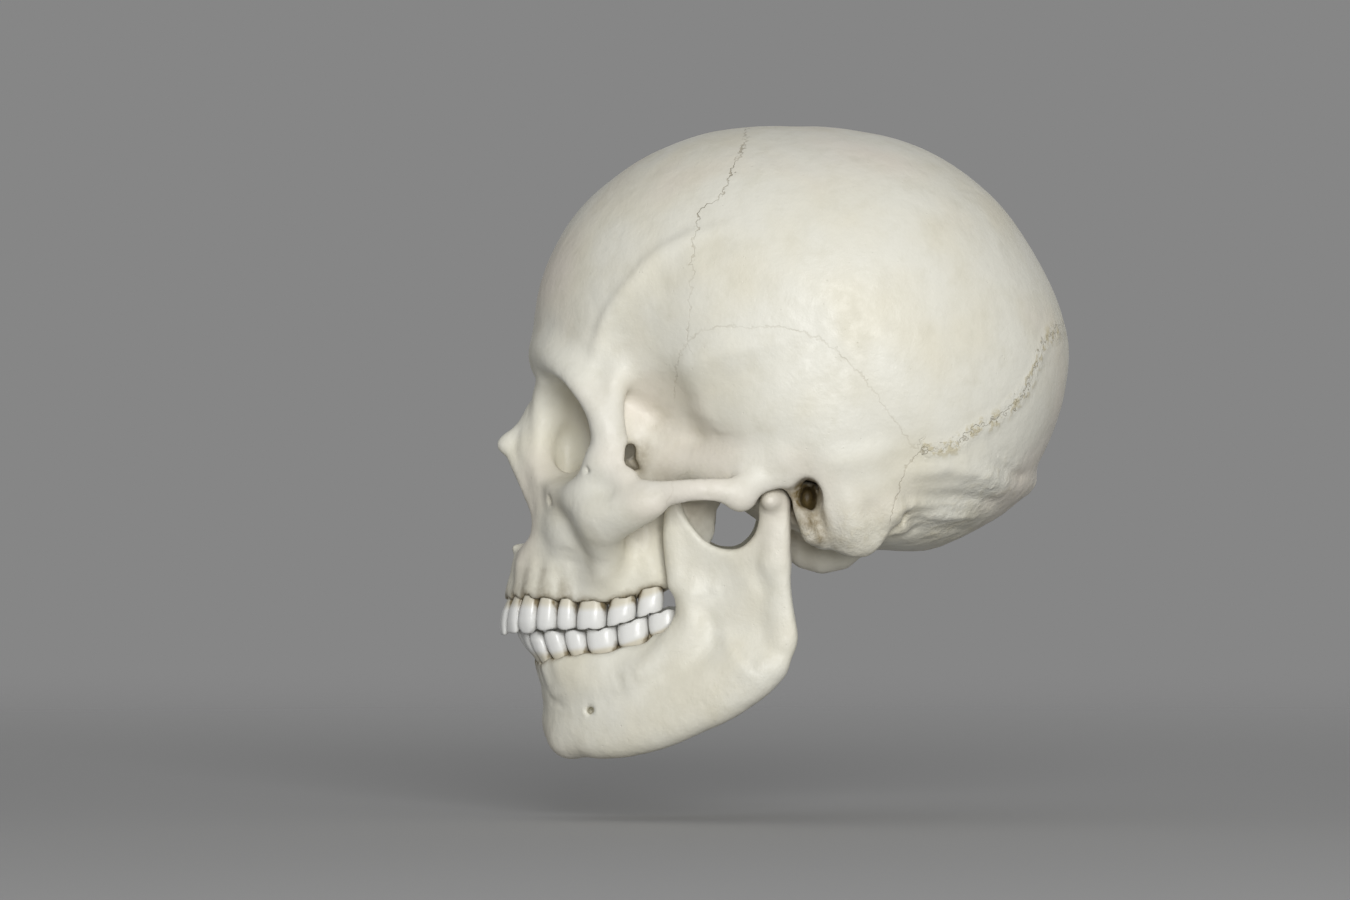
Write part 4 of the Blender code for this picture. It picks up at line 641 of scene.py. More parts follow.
class Clay:
    """A block of field values over the skull's left half; below zero is bone."""

    def __init__(self, low, high, grid):
        self.grid = grid
        self.low = np.array([0.0, low[1], low[2]])
        counts = np.ceil((np.array(high) - self.low) / grid).astype(int)
        self.axes = [self.low[i] + (np.arange(counts[i]) + 0.5) * grid for i in range(3)]
        self.field = np.full(counts, FAR, np.float32)

    def window(self, low, high):
        """The part of the block between two corners, and the places of its grid points."""
        part = tuple(slice(int(np.searchsorted(axis, low[i])), int(np.searchsorted(axis, high[i])))
                     for i, axis in enumerate(self.axes))
        x, y, z = (axis[span] for axis, span in zip(self.axes, part))
        return part, (x[:, None, None], y[None, :, None], z[None, None, :])

    def blend_in(self, form, blend, sign):
        """Adds a form for sign 1, or cuts it away for sign -1, with a rounded join."""
        function, low, high = form
        margin = max(blend, JOIN_REACH) + MARGIN_CELLS * self.grid
        part, places = self.window(low - margin, high + margin)
        if self.field[part].size:
            self.field[part] = sign * smooth_min(sign * self.field[part], function(*places), blend)

    def add(self, form, blend=0.0):
        self.blend_in(form, blend, 1)

    def cut(self, form, blend=0.0):
        self.blend_in(form, blend, -1)

    def form(self):
        """This clay as one form, read between its own grid points."""
        high = np.array([axis[-1] for axis in self.axes])

        def field(x, y, z):
            x, y, z = np.broadcast_arrays(np.abs(x), y, z)
            value = 0
            spots = [np.clip((p - self.axes[i][0]) / self.grid, 0, len(self.axes[i]) - 1 - TINY)
                     for i, p in enumerate((x, y, z))]
            first = [spot.astype(int) for spot in spots]
            for corner in np.ndindex(2, 2, 2):
                weight = 1
                for i in range(3):
                    part = spots[i] - first[i]
                    weight = weight * (part if corner[i] else 1 - part)
                value = value + weight * self.field[tuple(first[i] + corner[i] for i in range(3))]
            return value
        return field, self.low, high

    def skin(self, y, z):
        """How far out the bone reaches at a place seen from the side."""
        column = self.field[:, np.searchsorted(self.axes[1], y), np.searchsorted(self.axes[2], z)]
        inside = np.flatnonzero(column < 0)
        if not len(inside):
            return 0
        last = int(inside[-1])
        return self.axes[0][last] + self.grid * column[last] / (column[last] - column[last + 1])

    def stroke(self, points, width, height):
        """Raises the surface by a height along a smooth line, or sinks it, fading out to the sides."""
        line = spline(points, STROKE_POINTS)
        if line.shape[1] == 2:
            line = np.array([(self.skin(y, z), y, z) for y, z in line])
        reach = width * STROKE_REACH
        part, (x, y, z) = self.window(line.min(0) - reach, line.max(0) + reach)
        near = np.full(self.field[part].shape, FAR)
        fade = np.zeros(self.field[part].shape)
        for i, (a, b) in enumerate(zip(line[:-1], line[1:])):
            d = b - a
            t = np.clip(((x - a[0]) * d[0] + (y - a[1]) * d[1] + (z - a[2]) * d[2]) / (d @ d), 0, 1)
            away = (x - a[0] - t * d[0]) ** 2 + (y - a[1] - t * d[1]) ** 2 + (z - a[2] - t * d[2]) ** 2
            place_on = (i + t) / (len(line) - 1)
            from_end = STROKE_ENDS * np.minimum(place_on, 1 - place_on)
            fade = np.where(away < near, np.minimum(1, from_end), fade)
            near = np.minimum(near, away)
        self.field[part] -= height * fade * np.exp(-near / width ** 2)

    def surface(self):
        """The clay's whole surface, both halves: points, triangles and quads."""
        whole = np.concatenate([self.field[::-1], self.field], axis=0)
        grid = openvdb.FloatGrid(FAR)
        grid.copyFromArray(np.clip(whole / self.grid, -FAR, FAR).astype(np.float32))
        points, triangles, quads = grid.convertToPolygons(0.0, 0.0)
        low = np.array([-len(self.axes[0]) * self.grid, self.low[1], self.low[2]])
        return low + (np.asarray(points, float) + 0.5) * self.grid, np.asarray(triangles), np.asarray(quads)


def keep_largest(work):
    """Drops any crumb that the cuts left beside the bone."""
    left = set(work.verts)
    islands = []
    while left:
        stack = [left.pop()]
        island = set(stack)
        while stack:
            for edge in stack.pop().link_edges:
                for other in edge.verts:
                    if other in left:
                        left.discard(other)
                        island.add(other)
                        stack.append(other)
        islands.append(island)
    islands.sort(key=len)
    for island in islands[:-1]:
        bmesh.ops.delete(work, geom=list(island), context="VERTS")


def braincase(inset):
    """The vault: a midline outline swelled out to the cranial breadth."""
    centre = side_places([VAULT_CENTRE_SHARES])[0]
    outline = spline(side_places(VAULT_SHARES), VAULT_POINTS, closed=True)
    away = outline - centre
    angles = np.arctan2(away[:, 1], away[:, 0])
    order = np.argsort(angles)
    angles, radii = angles[order], np.hypot(away[:, 0], away[:, 1])[order] - inset
    half = CRANIAL_BREADTH / 2 - inset
    fullness = np.radians([row[0] for row in FULLNESS_SHARES]), [row[1] for row in FULLNESS_SHARES]

    def field(x, y, z):
        dy, dz = y - centre[0], z - centre[1]
        angle = np.arctan2(dz, dy)
        reach = np.interp(angle, angles, radii, period=2 * math.pi)
        power = np.interp(angle, *fullness)
        share = ((np.hypot(dy, dz) / reach) ** power + (x / half) ** power) ** (1 / power)
        share = np.maximum(share, TINY)
        return np.sqrt(x ** 2 + dy ** 2 + dz ** 2) * (1 - 1 / share)
    low = np.array([0, outline[:, 0].min(), outline[:, 1].min()])
    high = np.array([half, outline[:, 0].max(), outline[:, 1].max()])
    return field, low, high


def brain_cavity():
    """The space inside the vault, above the cranial floor."""
    shell, low, high = braincase(VAULT_WALL)
    floor = spline(side_places(FLOOR_SHARES), OUTLINE_POINTS)

    def field(x, y, z):
        rise = z - np.interp(y, floor[:, 0], floor[:, 1])
        return -smooth_min(-shell(x, y, z), rise, FULL_BLEND)
    return field, low, high


def squared_tube(axis, half_width, half_height, power):
    """A tube of squarish section along rows of place and size share."""
    points = np.array([place(row) for row in axis])
    sizes = np.array([row[3] for row in axis])
    reach = max(half_width, half_height) * max(sizes)

    def field(x, y, z):
        size = np.interp(y, points[:, 1], sizes)
        cx = np.interp(y, points[:, 1], points[:, 0])
        cz = np.interp(y, points[:, 1], points[:, 2])
        p, q = np.abs(x - cx) / half_width, np.abs(z - cz) / half_height
        ring = (p ** power + q ** power) ** (1 / power)
        side = (ring - size) * min(half_width, half_height)
        ends = np.maximum(points[0, 1] - y, y - points[-1, 1])
        return np.maximum(side, ends)
    return field, points.min(0) - reach, points.max(0) + reach


def nasal_cavity():
    """The pear-shaped opening and the passage behind it, beside the septum."""
    rows = np.array(NASAL_AXIS_SHARES, float)
    ys, middles = side_places(rows[:, :2]).T
    halves = rows[:, 2] * STEP[2]
    pear = np.array(PEAR_SHARES)

    def field(x, y, z):
        middle, half = np.interp(y, ys, middles), np.interp(y, ys, halves)
        up = (z - middle) / half
        width = np.interp(up, pear[:, 0], pear[:, 1]) * APERTURE_WIDTH / 2 * np.interp(y, ys, rows[:, 3])
        side = np.maximum(x - width, (np.abs(up) - 1) * half)
        ends = np.maximum(ys[0] - y, y - ys[-1])
        return np.maximum(side, ends)
    low = np.array([0, ys[0], (middles - halves).min()])
    return field, low, np.array([APERTURE_WIDTH, ys[-1], (middles + halves).max()])


def septum():
    """The thin wall between the two halves of the nasal cavity, set back from the opening."""
    low, high = (place(row) for row in SEPTUM_SHARES)

    def field(x, y, z):
        rise = (z - low[2]) / (high[2] - low[2])
        front = low[1] - rise * (high[1] - low[1]) * SEPTUM_LEAN_SHARE
        ends = np.maximum(front - y, y - high[1])
        return np.maximum(np.maximum(x - SEPTUM / 2, ends), np.maximum(low[2] - z, z - high[2]))
    return field, low, high + np.array([SEPTUM, 0, 0])


def dental_wall(jaw, rise):
    """The alveolar process: a wall round the tooth roots, leaning in away from the crowns."""
    neck_shares = NECK_PLACE_SHARES[jaw]
    depths = CROWN_DEPTHS[jaw]
    lean_across, lean_along = ARCH_LEAN_SHARES[jaw]
    front = (0, neck_shares[0][1] - FRONT_STEP_SHARE, neck_shares[0][2])
    necks = np.array([place(row) for row in (front,) + neck_shares])
    halves = np.array((depths[0],) + depths)[:, None] * NECK_SHARE / 2 + ALVEOLAR_WALL
    curve = spline(np.hstack([necks, halves]), CURVE_POINTS)
    end = curve[-1] + (curve[-1] - curve[-3])
    curve = np.vstack([curve, end])
    hub = place(ARCH_HUB_SHARES)[1]

    def field(x, y, z):
        best = None
        level = np.clip((z - curve[:, 2].mean()) / rise, 0, 1)
        px, py = x / (1 - lean_across * level), hub + (y - hub) / (1 - lean_along * level)
        for a, b in zip(curve[:-1], curve[1:]):
            d = b - a
            t = np.clip(((px - a[0]) * d[0] + (py - a[1]) * d[1]) / (d[0] ** 2 + d[1] ** 2), 0, 1)
            away = np.hypot(px - a[0] - t * d[0], py - a[1] - t * d[1]) - (a[3] + t * d[3])
            edge = z - (a[2] + t * d[2])
            if best is None:
                best, height = away, edge
            else:
                height = np.where(away < best, edge, height)
                best = np.minimum(best, away)
        tall = np.maximum(-height, height - rise) if rise > 0 else np.maximum(height, rise - height)
        return rounded_edge(best, tall, ALVEOLAR_ROUND)
    reach = curve[:, 3].max()
    low, high = curve[:, :3].min(0) - reach, curve[:, :3].max(0) + reach
    low[2] += min(rise, 0)
    high[2] += max(rise, 0)
    return field, low, high


def ramus_plate():
    """The flat of the ramus: its side outline, with the thickness about a leaning plane."""
    outline = spline(side_places(RAMUS_SHARES), OUTLINE_POINTS, closed=True)
    ear = place(RAMUS_PLANE_SHARES[0])
    back, up = RAMUS_PLANE_SHARES[1]

    def field(x, y, z):
        middle = ear[0] + (y - ear[1]) * back + (z - ear[2]) * up
        flat = np.abs(x - middle) - RAMUS_THICKNESS / 2
        side = outline_distance(outline, y, z) + 0 * x
        return rounded_edge(flat, side, RAMUS_ROUND)
    inner, outer = (share * STEP[0] for share in RAMUS_REACH_SHARES)
    low = np.array([inner, outline[:, 0].min(), outline[:, 1].min()])
    return field, low, np.array([outer, outline[:, 0].max(), outline[:, 1].max()])


def condyle():
    """The head of the mandible: an oval knuckle, its inner end turned back."""
    radii = np.array([CONDYLE_LENGTH, CONDYLE_DEPTH, CONDYLE_HEIGHT]) / 2
    return mass(place(CONDYLE_SHARES), radii, CONDYLE_TURN)


def swung(form, angle):
    """A form of the mandible, swung open about the line through the condyles."""
    function, low, high = form
    pivot = place(CONDYLE_SHARES)
    ca, sa = math.cos(angle), math.sin(angle)
    corners = np.array([[y - pivot[1], z - pivot[2]] for y in (low[1], high[1]) for z in (low[2], high[2])])
    turned = corners @ np.array([[ca, sa], [-sa, ca]])
    new_low = np.array([low[0], turned[:, 0].min() + pivot[1], turned[:, 1].min() + pivot[2]])
    new_high = np.array([high[0], turned[:, 0].max() + pivot[1], turned[:, 1].max() + pivot[2]])

    def field(x, y, z):
        dy, dz = y - pivot[1], z - pivot[2]
        return function(x, ca * dy + sa * dz + pivot[1], -sa * dy + ca * dz + pivot[2])
    return field, new_low, new_high


def grown(form, by):
    """A form made larger all round."""
    function, low, high = form
    return (lambda x, y, z: function(x, y, z) - by), low - by, high + by


def model_cranium(grid, jaw):
    """Everything of the skull but the jaw and teeth, as clay, cut clear of the jaw's swing."""
    clay = Clay(*(place(row) for row in CRANIUM_BLOCK_SHARES), grid)
    clay.add(braincase(0))
    clay.add(step_mass(ORBIT_BLOCK_SHARES), SOFT_BLEND)
    clay.cut(step_mass(TEMPLE_SHARES), TEMPLE_BLEND)
    clay.add(bar(ETHMOID_SHARES), SOFT_BLEND)
    clay.add(bar(LACRIMAL_SHARES), SOFT_BLEND)
    clay.add(bar(SPHENOID_SHARES), FULL_BLEND)
    clay.add(bar(PETROUS_SHARES), FULL_BLEND)
    clay.add(step_mass(MAXILLA_SHARES), SOFT_BLEND)
    clay.add(bar(TUBEROSITY_SHARES, smooth=True), SOFT_BLEND)
    clay.cut(step_mass(INFRATEMPORAL_SHARES), CLOSE_BLEND)
    clay.add(bar(BROW_SHARES, smooth=True), FULL_BLEND)
    clay.add(bar(ORBIT_RIM_SHARES, smooth=True), FIRM_BLEND)
    clay.add(bar(FRONTAL_PROCESS_SHARES, smooth=True), FIRM_BLEND)
    clay.add(bar(NASAL_SIDE_SHARES, smooth=True), CLOSE_BLEND)
    clay.add(bar(NASAL_EDGE_SHARES, smooth=True), CRISP_BLEND)
    clay.add(bar(CHEEK_SHARES, smooth=True), FULL_BLEND)
    clay.add(bar(CHEEK_EDGE_SHARES, smooth=True), SOFT_BLEND)
    clay.add(bar(PILLAR_SHARES), FULL_BLEND)
    clay.add(dental_wall("upper", ALVEOLAR_RISE), FIRM_BLEND)
    clay.add(palate(), SOFT_BLEND)
    clay.add(step_mass(MASTOID_SHARES), BROAD_BLEND)
    clay.add(bar(OCCIPITAL_CONDYLE_SHARES), CRISP_BLEND)
    clay.add(bar(NUCHAL_SHARES, smooth=True), FIRM_BLEND)
    clay.add(bar(TYMPANIC_SHARES), CRISP_BLEND)
    clay.add(bar(FOSSA_ROOF_SHARES), SOFT_BLEND)
    clay.add(bar(ARCH_ROOT_SHARES, smooth=True), FULL_BLEND)
    clay.add(bar(TUBERCLE_SHARES), SOFT_BLEND)
    clay.add(bar(ARCH_SHARES, ARCH_SECTION_SHARES, smooth=True), CLOSE_BLEND)
    clay.add(bar(PTERYGOID_SHARES, PLATE_SECTION_SHARES), CLOSE_BLEND)
    clay.add(bar(LATERAL_PLATE_SHARES, WING_SECTION_SHARES), CRISP_BLEND)
    clay.add(step_mass(WING_SHARES), FULL_BLEND)
    clay.add(bar(PILLAR_BACK_SHARES, smooth=True), SOFT_BLEND)
    clay.add(orbit_wall(), CRISP_BLEND)
    clay.field = np.maximum(clay.field, -model_hollow(grid, clay.field))
    clay.cut(orbit(), CRISP_BLEND)
    clay.cut(nasal_cavity(), EDGE_BLEND)
    clay.add(septum(), CREASE)
    clay.add(bar(NASAL_BONE_SHARES, smooth=True), CRISP_BLEND)
    clay.add(bar(SPINE_SHARES, smooth=True), EDGE_BLEND)
    clay.cut(foramen_magnum(), EDGE_BLEND)
    clay.cut(bar(FISSURE_SHARES, FISSURE_SECTION_SHARES), CREASE)
    clay.cut(bar(EAR_TROUGH_SHARES, smooth=True), EDGE_BLEND)
    clay.cut(ear_canal(), EDGE_BLEND)
    clay.cut(bar(DIGASTRIC_SHARES), CRISP_BLEND)
    for i in range(SWING_STEPS):
        clay.cut(swung(grown(jaw.form(), JOINT_GAP), JAW_OPENING * i / (SWING_STEPS - 1)), CREASE)
    return clay


def model_hollow(grid, outside):
    """The space for the brain, kept one wall inside every outer surface."""
    clay = Clay(*(place(row) for row in CRANIUM_BLOCK_SHARES), grid)
    clay.add(brain_cavity())
    clay.add(step_mass(MIDDLE_FOSSA_SHARES), SOFT_BLEND)
    clay.cut(grown(orbit(), ORBIT_WALL), CLOSE_BLEND)
    clay.cut(bar(PETROUS_SHARES), CLOSE_BLEND)
    clay.field = np.maximum(clay.field, outside + VAULT_WALL)
    return clay.field


def orbit():
    """The eye socket, narrowing back and in."""
    return squared_tube(ORBIT_AXIS_SHARES, ORBIT_WIDTH / 2, ORBIT_HEIGHT / 2, ORBIT_SQUARENESS)


def orbit_wall():
    """A wall all round the socket, set back from its rim."""
    function, low, high = grown(orbit(), ORBIT_WALL)
    inner, outer = (place(row) for row in ORBIT_FRONT_SHARES)

    def field(x, y, z):
        front = np.interp(x, (inner[0], outer[0]), (inner[1], outer[1]))
        return np.maximum(function(x, y, z), front - y)
    return field, low, high


def palate():
    """The bony roof of the mouth, spanning the dental arch above the tooth necks."""
    points = spline([place(row)[:2] for row in PALATE_SHARES], CURVE_POINTS)
    middle = place(PALATE_SHARES[0])[2]

    def field(x, y, z):
        side = outline_distance(points, x, y) + 0 * z
        return np.maximum(side, np.abs(z - middle + x ** 2 / PALATE_CURVE) - PALATE_WALL / 2)
    low = np.array([0, points[:, 1].min(), middle - PALATE_WALL * 2])
    return field, low, np.array([points[:, 0].max(), points[:, 1].max(), middle + PALATE_WALL])


def foramen_magnum():
    """The hole in the base that the spine comes out of, centred on the origin."""
    low, high = (place(row) for row in FORAMEN_REACH_SHARES)

    def field(x, y, z):
        ring = np.sqrt((x / (FORAMEN_WIDTH / 2)) ** 2 + (y / (FORAMEN_LENGTH / 2)) ** 2)
        side = (ring - 1) * FORAMEN_WIDTH / 2
        return np.maximum(side, np.maximum(low[2] - z, z - high[2]))
    return field, low, high + np.array([FORAMEN_WIDTH, 0, 0])


def ear_canal():
    """The upright oval opening of the ear, running in towards the base."""
    middle = place(EAR_SHARES)
    start, end = (share * STEP[0] for share in CANAL_REACH_SHARES)

    def field(x, y, z):
        ring = np.hypot((y - middle[1]) / EAR_CANAL_WIDTH, (z - middle[2]) / EAR_CANAL_HEIGHT) * 2
        narrow = np.interp(x, (start, end), EAR_FLARE_SHARES)
        return np.maximum((ring - narrow) * EAR_CANAL_WIDTH / 2, start - x)
    low = np.array([start, middle[1] - EAR_CANAL_WIDTH, middle[2] - EAR_CANAL_HEIGHT])
    return field, low, np.array([end, middle[1] + EAR_CANAL_WIDTH, middle[2] + EAR_CANAL_HEIGHT])


def model_mandible(grid):
    """The lower jaw as clay."""
    clay = Clay(*(place(row) for row in MANDIBLE_BLOCK_SHARES), grid)
    clay.add(bar(LOWER_BORDER_SHARES, smooth=True))
    clay.add(bar(JAW_WALL_SHARES, smooth=True), BODY_BLEND)
    clay.add(bar(ALVEOLAR_SHARES, smooth=True), BROAD_BLEND)
    clay.add(dental_wall("lower", -ALVEOLAR_DROP), FULL_BLEND)
    clay.add(ramus_plate(), FULL_BLEND)
    clay.add(bar(OBLIQUE_SHARES, smooth=True), FULL_BLEND)
    clay.add(bar(CORONOID_SHARES, CORONOID_SECTION_SHARES), CRISP_BLEND)
    clay.add(bar(BACK_BORDER_SHARES), CLOSE_BLEND)
    clay.add(bar(NECK_SHARES), CLOSE_BLEND)
    clay.add(condyle(), EDGE_BLEND)
    clay.add(step_mass(CHIN_SHARES), SOFT_BLEND)
    clay.add(step_mass(CHIN_CORNER_SHARES), FIRM_BLEND)
    clay.cut(bore(MENTAL_SHARES, MENTAL_FORAMEN), CREASE)
    return clay


def bite_height(y):
    """The height where upper and lower back teeth meet, at a place along the skull."""
    rows = side_places(BITE_SHARES)
    return np.interp(y, rows[:, 0], rows[:, 1])


def arch_places(jaw):
    """Neck, tip, direction along the arch and room for each tooth, from the midline back."""
    lines = []
    for rows in (NECK_PLACE_SHARES[jaw], TIP_PLACE_SHARES[jaw]):
        points = np.array([place(row) for row in rows])
        first = points[0] * np.array([0, 1, 1])
        last = points[-1] + (points[-1] - points[-2]) / 2
        lines.append(spline(np.vstack([first, points, last]), ARCH_POINTS))
    middle = (lines[0] + lines[1]) / 2
    run = np.concatenate([[0], np.cumsum(np.linalg.norm(np.diff(middle[:, :2], axis=0), axis=1))])
    widths = np.array(CROWN_WIDTHS[jaw])
    room = widths / widths.sum() * run[-1]
    centres = np.cumsum(room) - room / 2
    places = []
    for centre, space in zip(centres, room):
        neck, tip = (np.array([np.interp(centre, run, line[:, i]) for i in range(3)]) for line in lines)
        ahead, behind = (np.array([np.interp(centre + way * space / 2, run, middle[:, i]) for i in range(3)])
                         for way in (1, -1))
        along = ahead - behind
        along[2] = 0
        places.append((neck, tip, along / np.linalg.norm(along), space - TOOTH_GAP))
    return places


def root_of(crown, up, length):
    """The way and length of a root: on from its crown, turned a little upright."""
    root = np.array([0, 0, up * ROOT_UPRIGHT_SHARE]) - crown / np.linalg.norm(crown)
    return root * length / np.linalg.norm(root)


def neck_slope(jaw, index):
    """How steeply the line of necks climbs towards the back at a back tooth."""
    if TOOTH_FORMS[index] in ("incisor", "canine"):
        return 0
    necks = [neck for neck, _, _, _ in arch_places(jaw)]
    before, after = necks[index - 1], necks[min(index + 1, len(necks) - 1)]
    return (after[2] - before[2]) / (after[1] - before[1])


def socket(jaw, index, grow):
    """The space that one left-hand tooth fills, made larger all round by grow."""
    neck, tip, along, width = arch_places(jaw)[index]
    depth = CROWN_DEPTHS[jaw][index]
    rings = np.array(TOOTH_RING_SHARES[TOOTH_FORMS[index]])
    up = ROOT_WAYS[jaw]
    crown = tip - neck
    root = root_of(crown, up, ROOT_LENGTH)
    out = np.cross(along, (0, 0, 1))
    slope = neck_slope(jaw, index)

    def field(x, y, z):
        rise = (z - neck[2] - slope * (y - neck[1])) * up
        t = np.where(rise > 0, -rise / (root[2] * up), -rise / abs(crown[2]))
        cx = neck[0] + np.where(t > 0, crown[0] * t, -root[0] * t)
        cy = neck[1] + np.where(t > 0, crown[1] * t, -root[1] * t)
        deep = np.interp(t, rings[:, 0], rings[:, 2]) * depth / 2 + grow
        wide = np.interp(t, rings[:, 0], rings[:, 1]) * width / 2 + grow
        q = ((x - cx) * out[0] + (y - cy) * out[1]) / deep
        p = ((x - cx) * along[0] + (y - cy) * along[1]) / wide
        p = p / (1 - INNER_NARROWING_SHARE * (1 - np.clip(q, -1, 1)) / 2)
        ring = (np.abs(p) ** TOOTH_FULLNESS + np.abs(q) ** TOOTH_FULLNESS) ** (1 / TOOTH_FULLNESS)
        ends = np.maximum(rise - abs(root[2]) - grow, -rise - abs(crown[2]) - grow)
        return np.maximum((ring - 1) * np.minimum(deep, wide), ends)
    reach = max(width, depth) + grow
    points = np.array([neck, tip, neck + root])
    return field, points.min(0) - reach, points.max(0) + reach


def tooth_ridges(clay, jaw):
    """Ridges of bone over the roots, and the scalloped edge between them."""
    up = ROOT_WAYS[jaw]
    lean_across, lean_along = ARCH_LEAN_SHARES[jaw]
    rise = ALVEOLAR_RISE if jaw == "upper" else ALVEOLAR_DROP
    hub = place(ARCH_HUB_SHARES)[1]
    for index, (neck, tip, along, width) in enumerate(arch_places(jaw)):
        depth = CROWN_DEPTHS[jaw][index]
        out = np.cross(along, (0, 0, 1))
        out = out if out[0] * neck[0] + out[1] * (neck[1] - hub) > 0 else -out
        edge = neck + out * (depth * NECK_SHARE / 2 + ALVEOLAR_WALL)
        points = [(edge[0] * (1 - lean_across * level), hub + (edge[1] - hub) * (1 - lean_along * level),
                   neck[2] + up * rise * level) for level in JUGUM_LEVEL_SHARES]
        clay.stroke(points, width * JUGUM_WIDTH_SHARE, JUGUM_RISE * JUGUM_SHARES[jaw][index])
        reach = np.abs(along) * width * SCALLOP_SHARE + np.abs(out) * depth / 3
        reach[2] = SCALLOP_RISE * SCALLOP_DEPTH
        clay.cut(mass(edge + np.array([0, 0, -SCALLOP_DROP * up * SCALLOP_DEPTH]), reach), CRISP_BLEND)
    for index in range(len(TEETH)):
        clay.cut(socket(jaw, index, SEAT_GAP))


def refine_cranium(clay):
    """The finer ridges, pits and canals that a good cast keeps."""
    for table, width, height in BONE_STROKES:
        clay.stroke(side_places(table), width, height)
    clay.cut(step_mass(LACRIMAL_PIT_SHARES), SOFT_BLEND)
    clay.cut(step_mass(EAR_MOUTH_SHARES), CRISP_BLEND)
    clay.add(bar(EAR_PLATE_SHARES, smooth=True), CRISP_BLEND)
    clay.add(bar(TEMPLE_WALL_SHARES, smooth=True), FULL_BLEND)
    clay.cut(bore(INFRAORBITAL_SHARES, CANAL_WIDTH), CREASE)
    clay.cut(bore(CHEEK_CANAL_SHARES, PIT_WIDTH), CREASE)
    clay.cut(bore(OPTIC_SHARES, WIDE_CANAL_WIDTH), EDGE_BLEND)
    clay.cut(bar(ORBITAL_FISSURE_SHARES, smooth=True), EDGE_BLEND)
    clay.add(bar(LOWER_CONCHA_SHARES, smooth=True), CREASE)
    clay.add(bar(MIDDLE_CONCHA_SHARES, smooth=True), CREASE)
    clay.cut(bore(INCISIVE_SHARES, CANAL_WIDTH), EDGE_BLEND)
    clay.cut(bore(PALATINE_SHARES, CANAL_WIDTH), EDGE_BLEND)
    clay.cut(bore(CAROTID_SHARES, WIDE_CANAL_WIDTH), EDGE_BLEND)
    clay.cut(bore(JUGULAR_SHARES, WIDE_CANAL_WIDTH), EDGE_BLEND)
    clay.cut(bore(OVAL_SHARES, CANAL_WIDTH), EDGE_BLEND)
    clay.cut(bar(MASTOID_NOTCH_SHARES, smooth=True), CLOSE_BLEND)
    tooth_ridges(clay, "upper")


def refine_mandible(clay):
    """The finer ridges and canals of the jaw."""
    clay.add(bar(MYLOHYOID_SHARES, smooth=True), FIRM_BLEND)
    clay.add(bar(GENIAL_SHARES), EDGE_BLEND)
    clay.cut(bore(JAW_CANAL_SHARES, CANAL_WIDTH), EDGE_BLEND)
    clay.add(bar(LINGULA_SHARES), CRISP_BLEND)
    for table, width, height in JAW_STROKES:
        clay.stroke(side_places(table), width, height)
    tooth_ridges(clay, "lower")


def mesh_of(name, clay):
    """Both halves of the clay as one closed mesh, its crumbs dropped."""
    points, triangles, quads = clay.surface()
    data = bpy.data.meshes.new(name)
    data.from_pydata(points.tolist(), [], triangles.tolist() + quads.tolist())
    work = bmesh.new()
    work.from_mesh(data)
    keep_largest(work)
    bmesh.ops.recalc_face_normals(work, faces=work.faces)
    work.to_mesh(data)
    work.free()
    return data


def settled(obj):
    """The object's mesh with its modifiers worked in, which are then removed."""
    shown = obj.evaluated_get(bpy.context.evaluated_depsgraph_get())
    data = bpy.data.meshes.new_from_object(shown)
    old = obj.data
    obj.modifiers.clear()
    obj.data = data
    bpy.data.meshes.remove(old)
    data.name = obj.name
    return data


def shown_object(name, data):
    """An object for a mesh, in the scene."""
    made = bpy.data.objects.new(name, data)
    bpy.context.scene.collection.objects.link(made)
    return made


def vertex_arrays(data):
    """Vertex places and normals as arrays."""
    count = len(data.vertices)
    places, normals = np.empty(count * 3), np.empty(count * 3)
    data.vertices.foreach_get("co", places)
    data.vertex_normals.foreach_get("vector", normals)
    return places.reshape(-1, 3), normals.reshape(-1, 3)


def store(data, name, values):
    """Keeps one number for each vertex, for the material and the relief to read."""
    layer = data.attributes.new(name, "FLOAT", "POINT")
    layer.data.foreach_set("value", np.asarray(values, np.float32))


def spots(rows, places):
    """How strongly each place lies in the soft round spots of a table, on either side."""
    value = np.zeros(len(places))
    for row in rows:
        centre = place(row[:3])
        away = np.sqrt((np.abs(places[:, 0]) - centre[0]) ** 2 + (places[:, 1] - centre[1]) ** 2
                       + (places[:, 2] - centre[2]) ** 2) / (row[3] * MEAN_STEP)
        value = np.maximum(value, row[4] * np.clip(HAZE_REACH - away, 0, 1))
    return value


def shade_in_hollows(clay, places, normals):
    """How shut in each place is, as painted shade: bone met at two distances out along its normal."""
    field = clay.form()[0]
    shut = np.zeros(len(places))
    for reach in HOLLOW_SHADE_REACHES:
        spot = places + normals * reach
        free = np.clip(field(spot[:, 0], spot[:, 1], spot[:, 2]) / reach, 0, 1)
        shut += (1 - free) / len(HOLLOW_SHADE_REACHES)
    return shut


def gum_stain(jaw, places):
    """How near each place is to a tooth, on either side."""
    near = np.full(len(places), FAR)
    x, y, z = np.abs(places[:, 0]), places[:, 1], places[:, 2]
    for index in range(len(TEETH)):
        near = np.minimum(near, socket(jaw, index, 0)[0](x, y, z))
    return np.clip(1 - (near - SOCKET_GAP) / GUM_REACH, 0, 1)


